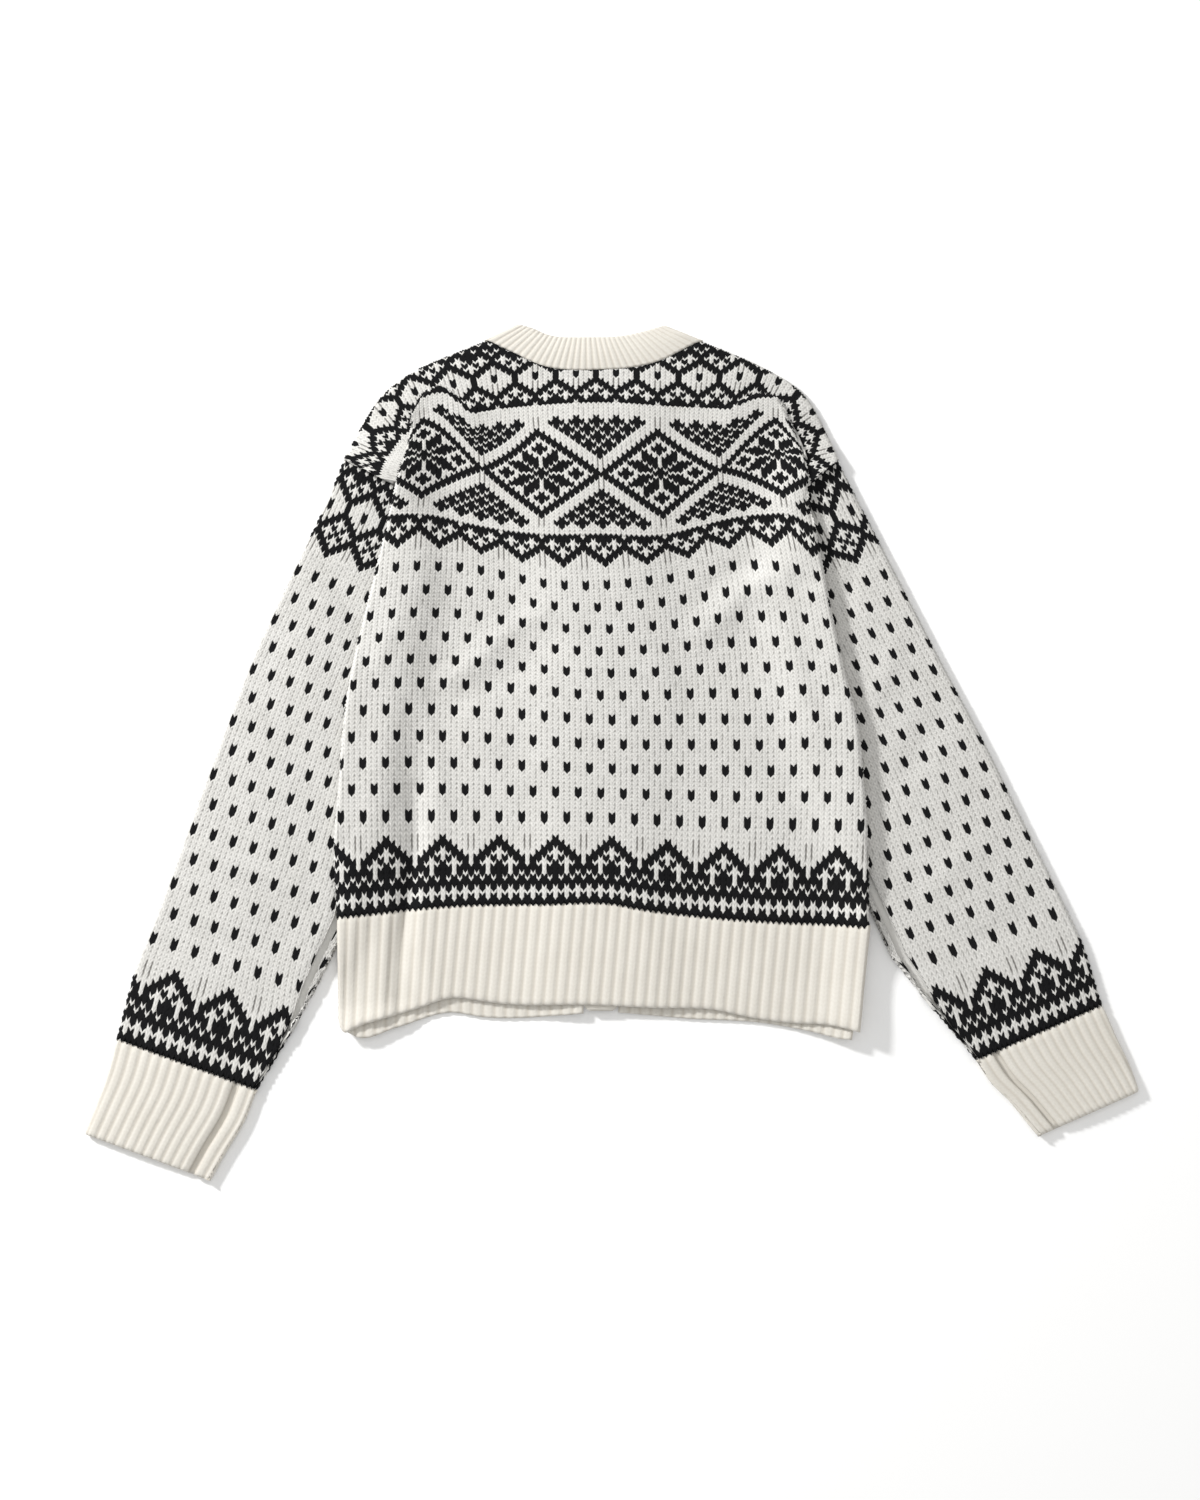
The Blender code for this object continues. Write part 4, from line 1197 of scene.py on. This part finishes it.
def front_outline(side):
    """A front seen from above, as a closed line."""
    at_band = band_edge(side)
    seam = smooth(RIB_SEAM, 60)
    start = [(at_band, np.interp(at_band, *seam.T) + 0.5)]
    low = [(x, y + 0.5) for x, y in seam if (x - at_band) * side > 0 and abs(x) < 206]
    edge = smooth((SIDE_LEFT if side < 0 else SIDE_RIGHT)[3:], 40) - [side * 2.5, 0]
    shoulder = smooth(SHOULDER_LEFT if side < 0 else SHOULDER_RIGHT[::-1], 30)
    return np.concatenate([start, low[::side], edge, shoulder, front_neck(side)[::-1]])


FRONT_WALE, FRONT_ROW = 4.5, 3.17


def front_surface(side):
    outline = front_outline(side)
    closed = [*outline, outline[0]]
    seam = smooth(RIB_SEAM, 60).T

    def flat(wale, row):
        x = CENTRE_X + wale * FRONT_WALE
        return x, np.interp(x, *seam) + (row + 0.5) * FRONT_ROW

    def at(wale, row):
        x, y = flat(wale, row)
        d, fx, fy = signed(x, y, (closed,), outline)
        keep = np.where(d < 0, 0.25 * (1 - np.exp(d / 4)) / np.maximum(-d, 1e-6), 1)
        x, y = fx + (x - fx) * keep, fy + (y - fy) * keep
        z = BELOW[side].at(x, y) + 0.8 + np.maximum(creases(x, y, FRONT_CREASES), 0)
        return np.stack([x, y, z], -1)

    def keep(wale, row):
        return signed(*flat(wale, row), (closed,), outline)[0] > -1.2

    return at, keep


FRONT_CREASES = (
    # x, y, to x, to y, half width, height
    (-176, -110, -160, 60, 10, 1.0),
    (-130, 150, -80, 210, 12, 0.8),
    (150, -100, 140, 40, 11, 0.9),
    (120, 160, 70, 214, 12, 0.8),
)
SIDES = ((-1, "left"), (1, "right"))
BELOW = {
    side: Heights(("front_" + word, "front_%s_hem_rib" % word), from_above=False, passes=2) for side, word in SIDES
}


def hem_half(side, points):
    """The part of a line on one side of the bands."""
    at_band = band_edge(side)
    curve = smooth(points, 120)
    half = [(at_band, np.interp(at_band, *curve.T))]
    half += [tuple(p) for p in curve[::side] if (p[0] - at_band) * side > 0]
    return half[::side]


def front_hem_surface(side):
    low, high = (smooth(hem_half(side, points), 200) for points in (FRONT_HEM, RIB_SEAM))
    flat = ruled(low, high - [0, RIB_LAP])

    def at(u, v):
        x, y = flat(u, v)
        out = u if side > 0 else 1 - u
        x = x - side * 2.5 * ease((out - 0.9) / 0.1)
        return np.stack([x, y, BELOW[side].at(x, y) + 1.55 + 0.65 * lifted(x, y)], -1)

    return at


for side, word in SIDES:
    surface, keep = front_surface(side)
    wales = (-49, -3) if side < 0 else (3, 49)
    front = knit("front_%s_knit" % word, wales, (0, 146), surface, body_black, keep, relief=0.9, up=1, flip=True)
    finish_piece(front, "patterned_knit", (0.21, 0.47), 0.086, ["table"], "front_" + word)
    front_rib = rib_both("front_%s_hem_rib_knit" % word, 22, 25, front_hem_surface(side), 1.1)
    finish_piece(front_rib, "cream_rib", (0.205, 0.09), None, ["table"], "front_%s_hem_rib" % word)


def band_surface(low):
    bottom = np.interp(CENTRE_X, *np.array(FRONT_HEM).T)
    top_y = FRONT_NECK_DROP_Y + NECKBAND_WIDTH

    def at(u, v):
        y = bottom + 1 + (top_y - bottom - 1) * v
        round_off = 4.0 * np.clip(1 - (y - bottom - 1) / 5, 0, 1) ** 2
        x = CENTRE_X + (2 * u - 1) * (BAND_WIDTH / 2 - 0.4 - round_off)
        return np.stack([x, y, np.full(np.shape(x), low + 0.95)], -1)

    return at


for name, low in (("buttonhole_band", 2.3), ("button_band", 4.8)):
    band = rib(name + "_knit", 6, 130, band_surface(low), 1.5, True, 0.55)
    finish_piece(band, "cream_rib", (0.028, 0.484), None, ["front_left_knit", "front_right_knit"], name)


def neckband_surface():
    """The band from the left front, over the shoulder, along the back neck and down the right front."""
    back = np.concatenate([smooth([(x, y - 0.2) for x, y in NECK_SEAM], 60), smooth(NECK_TOP[2:-2], 60)], 1)
    halves = []  # of stations: seam x, y, free x, y, turn from lying face down (0) to face up (pi), side
    for side, end in ((-1, back[0]), (1, back[-1])):
        seam = front_neck(side)
        way = np.gradient(seam, axis=0)
        way /= np.linalg.norm(way, axis=1)[:, None]
        out = np.stack([-way[:, 1], way[:, 0]], -1) * side
        front = np.concatenate([seam + out * 1.3, seam + out * NECKBAND_WIDTH], 1)[:-1]
        turns = np.linspace(0, math.pi, 7)[:-1]
        halves.append([(*place, 0.0, side) for place in front] + [(*end, turn, side) for turn in turns])
    places = (np.interp(np.linspace(0, 1, 40), np.linspace(0, 1, 60), part) for part in back.T)
    middle = [(*place, math.pi, -1 if k < 20 else 1) for k, place in enumerate(zip(*places))]
    table = np.array(halves[0] + middle + halves[1][::-1])
    turn, side = table[:, 4], table[:, 5]
    radius = 2.75
    bulge, height = side * radius * np.sin(turn), 4.0 - radius * np.cos(turn)
    points = np.stack([table[:, 0] + bulge, table[:, 1], height, table[:, 2] + bulge, table[:, 3], height], -1)
    reach = reach_of((points[:, :3] + points[:, 3:]) / 2)
    reach /= reach[-1]

    def at(u, v):
        place = np.stack([np.interp(u, reach, part) for part in points.T], -1)
        seam, free = place[..., :3], place[..., 3:]
        found = seam + (free - seam) * v[..., None]
        dome = 1.1 * np.sin(math.pi * np.clip(v, 0, 1)) - 0.4 * (1 - v) ** 3
        found[..., 2] += dome * ease((seam[..., 2] - 5.4) / 1.2)
        return found

    return at


neckband = rib("neckband_knit", 84, 8, neckband_surface(), 0.8, False, 1.1)
finish_piece(neckband, "cream_rib", (0.44, 0.025), None, ["table"], "neckband")


def lathe(name, profile, segments, place, material):
    """A solid turned round Z through a profile of radius and height, closed on the axis."""
    turn = np.linspace(0, 2 * math.pi, segments, endpoint=False)
    points = [(place[0], place[1], place[2] + profile[0][1])]
    for radius, z in profile[1:-1]:
        points += [(place[0] + radius * math.cos(a), place[1] + radius * math.sin(a), place[2] + z) for a in turn]
    points.append((place[0], place[1], place[2] + profile[-1][1]))
    faces = [(0, 1 + (k + 1) % segments, 1 + k) for k in range(segments)]
    for ring in range(len(profile) - 3):
        a, b = 1 + ring * segments, 1 + (ring + 1) * segments
        faces += [(a + k, a + (k + 1) % segments, b + (k + 1) % segments, b + k) for k in range(segments)]
    last, tip = 1 + (len(profile) - 3) * segments, len(points) - 1
    faces += [(last + k, last + (k + 1) % segments, tip) for k in range(segments)]
    return make_object(name, np.array(points), faces, np.zeros(len(faces), int), [material])


BUTTON_PROFILE = ((0, 0.6), (5.6, 0.6), (6.4, 0.35), (7.0, 0.05), (7.9, 0), (8.7, 0.3), (9.0, 0.9), (8.7, 1.6),
                  (7.8, 2.0), (0, 2.0))


def make_button(index, y, horn, thread):
    """A four-hole button, face down, with its thread."""
    button = lathe("button_%d_horn" % index, BUTTON_PROFILE, 40, (CENTRE_X, y, 0), horn)
    for k in range(4):
        a = math.pi / 4 + k * math.pi / 2
        place = (CENTRE_X + 2.3 * math.cos(a), y + 2.3 * math.sin(a), -0.5)
        drill = lathe("drill", ((0, 0), (0.95, 0), (0.95, 3.2), (0, 3.2)), 14, place, horn)
        cut = button.modifiers.new("hole", "BOOLEAN")
        cut.operation = "DIFFERENCE"
        cut.solver = "EXACT"
        cut.object = drill
        shape = bpy.data.meshes.new_from_object(button.evaluated_get(bpy.context.evaluated_depsgraph_get()))
        button.modifiers.clear()
        button.data = shape
        bpy.data.objects.remove(drill, do_unlink=True)
    button.data.set_sharp_from_angle(angle=math.radians(35))
    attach(button, "root")
    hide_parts("button_%d" % index)
    for k, way in enumerate((-1, 1)):
        bar = lathe("thread_%d_%d" % (index, k), ((0, 0), (0.5, 0.1), (0.55, 1.6), (0.5, 3.1), (0, 3.25)), 10,
                    (0, 0, 0), thread)
        bar.rotation_euler = (math.pi / 2, 0, 0)
        bar.location = ((CENTRE_X + way * 1.63) * MM, (y + 1.63) * MM, 0.42 * MM)
        bar.data.transform(bar.matrix_basis)
        bar.matrix_basis.identity()
        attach(bar, "root")
    shank_profile = ((0, 0), (1.3, 0), (1.6, 1), (1.3, 3.2), (0, 3.2))
    shank = lathe("shank_%d" % index, shank_profile, 12, (CENTRE_X, y, 1.7), thread)
    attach(shank, "root")


LOW_BUTTON, HIGH_BUTTON = -188.0, 246.0
for index in range(6):
    make_button(index + 1, LOW_BUTTON + (HIGH_BUTTON - LOW_BUTTON) * index / 5, HORN, BLACK)

# ---------------------------------------------------------------- setting

PHOTO_HEIGHT = 1500
PIXEL = 0.82  # mm a pixel of the photo


def make_floor():
    bpy.ops.mesh.primitive_plane_add(size=12, location=(0, 0, -0.0002))
    floor = bpy.context.object
    floor.name = "floor"
    material, shader, _ = new_material("paper_floor")
    shader.inputs["Base Color"].default_value = (0.99, 0.99, 0.985, 1)
    shader.inputs["Roughness"].default_value = 0.9
    floor.data.materials.append(material)
    floor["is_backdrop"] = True


def area_light(name, place, aim, size, power, colour):
    data = bpy.data.lights.new(name, "AREA")
    data.size = size
    data.energy = power
    data.color = colour
    lamp = bpy.data.objects.new(name, data)
    lamp.location = place
    lamp.rotation_euler = (Vector(aim) - Vector(place)).to_track_quat("-Z", "Y").to_euler()
    bpy.context.scene.collection.objects.link(lamp)


def make_camera():
    high = 4.2
    data = bpy.data.cameras.new("camera")
    data.sensor_width = 36
    data.lens = 36 * (high - 0.008) / (PHOTO_HEIGHT * PIXEL * MM)
    data.clip_end = 50
    camera = bpy.data.objects.new("camera", data)
    camera.location = ((600 - 612) * PIXEL * MM, (752.5 - 750) * PIXEL * MM, high)
    bpy.context.scene.collection.objects.link(camera)
    bpy.context.scene.camera = camera


def make_world():
    world = bpy.data.worlds.new("studio")
    world.use_nodes = True
    world.node_tree.nodes["Background"].inputs["Color"].default_value = (1, 1, 1, 1)
    world.node_tree.nodes["Background"].inputs["Strength"].default_value = 0.57
    bpy.context.scene.world = world


make_floor()
make_world()
area_light("window", (-2.2, 1.6, 1.5), (0, 0, 0), 0.35, 98, (1, 1, 1))
area_light("overhead", (0.3, 0.4, 3.2), (0, 0, 0), 2.5, 17, (1, 0.99, 0.97))
make_camera()
bpy.context.scene.view_settings.view_transform = "Standard"

low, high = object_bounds()
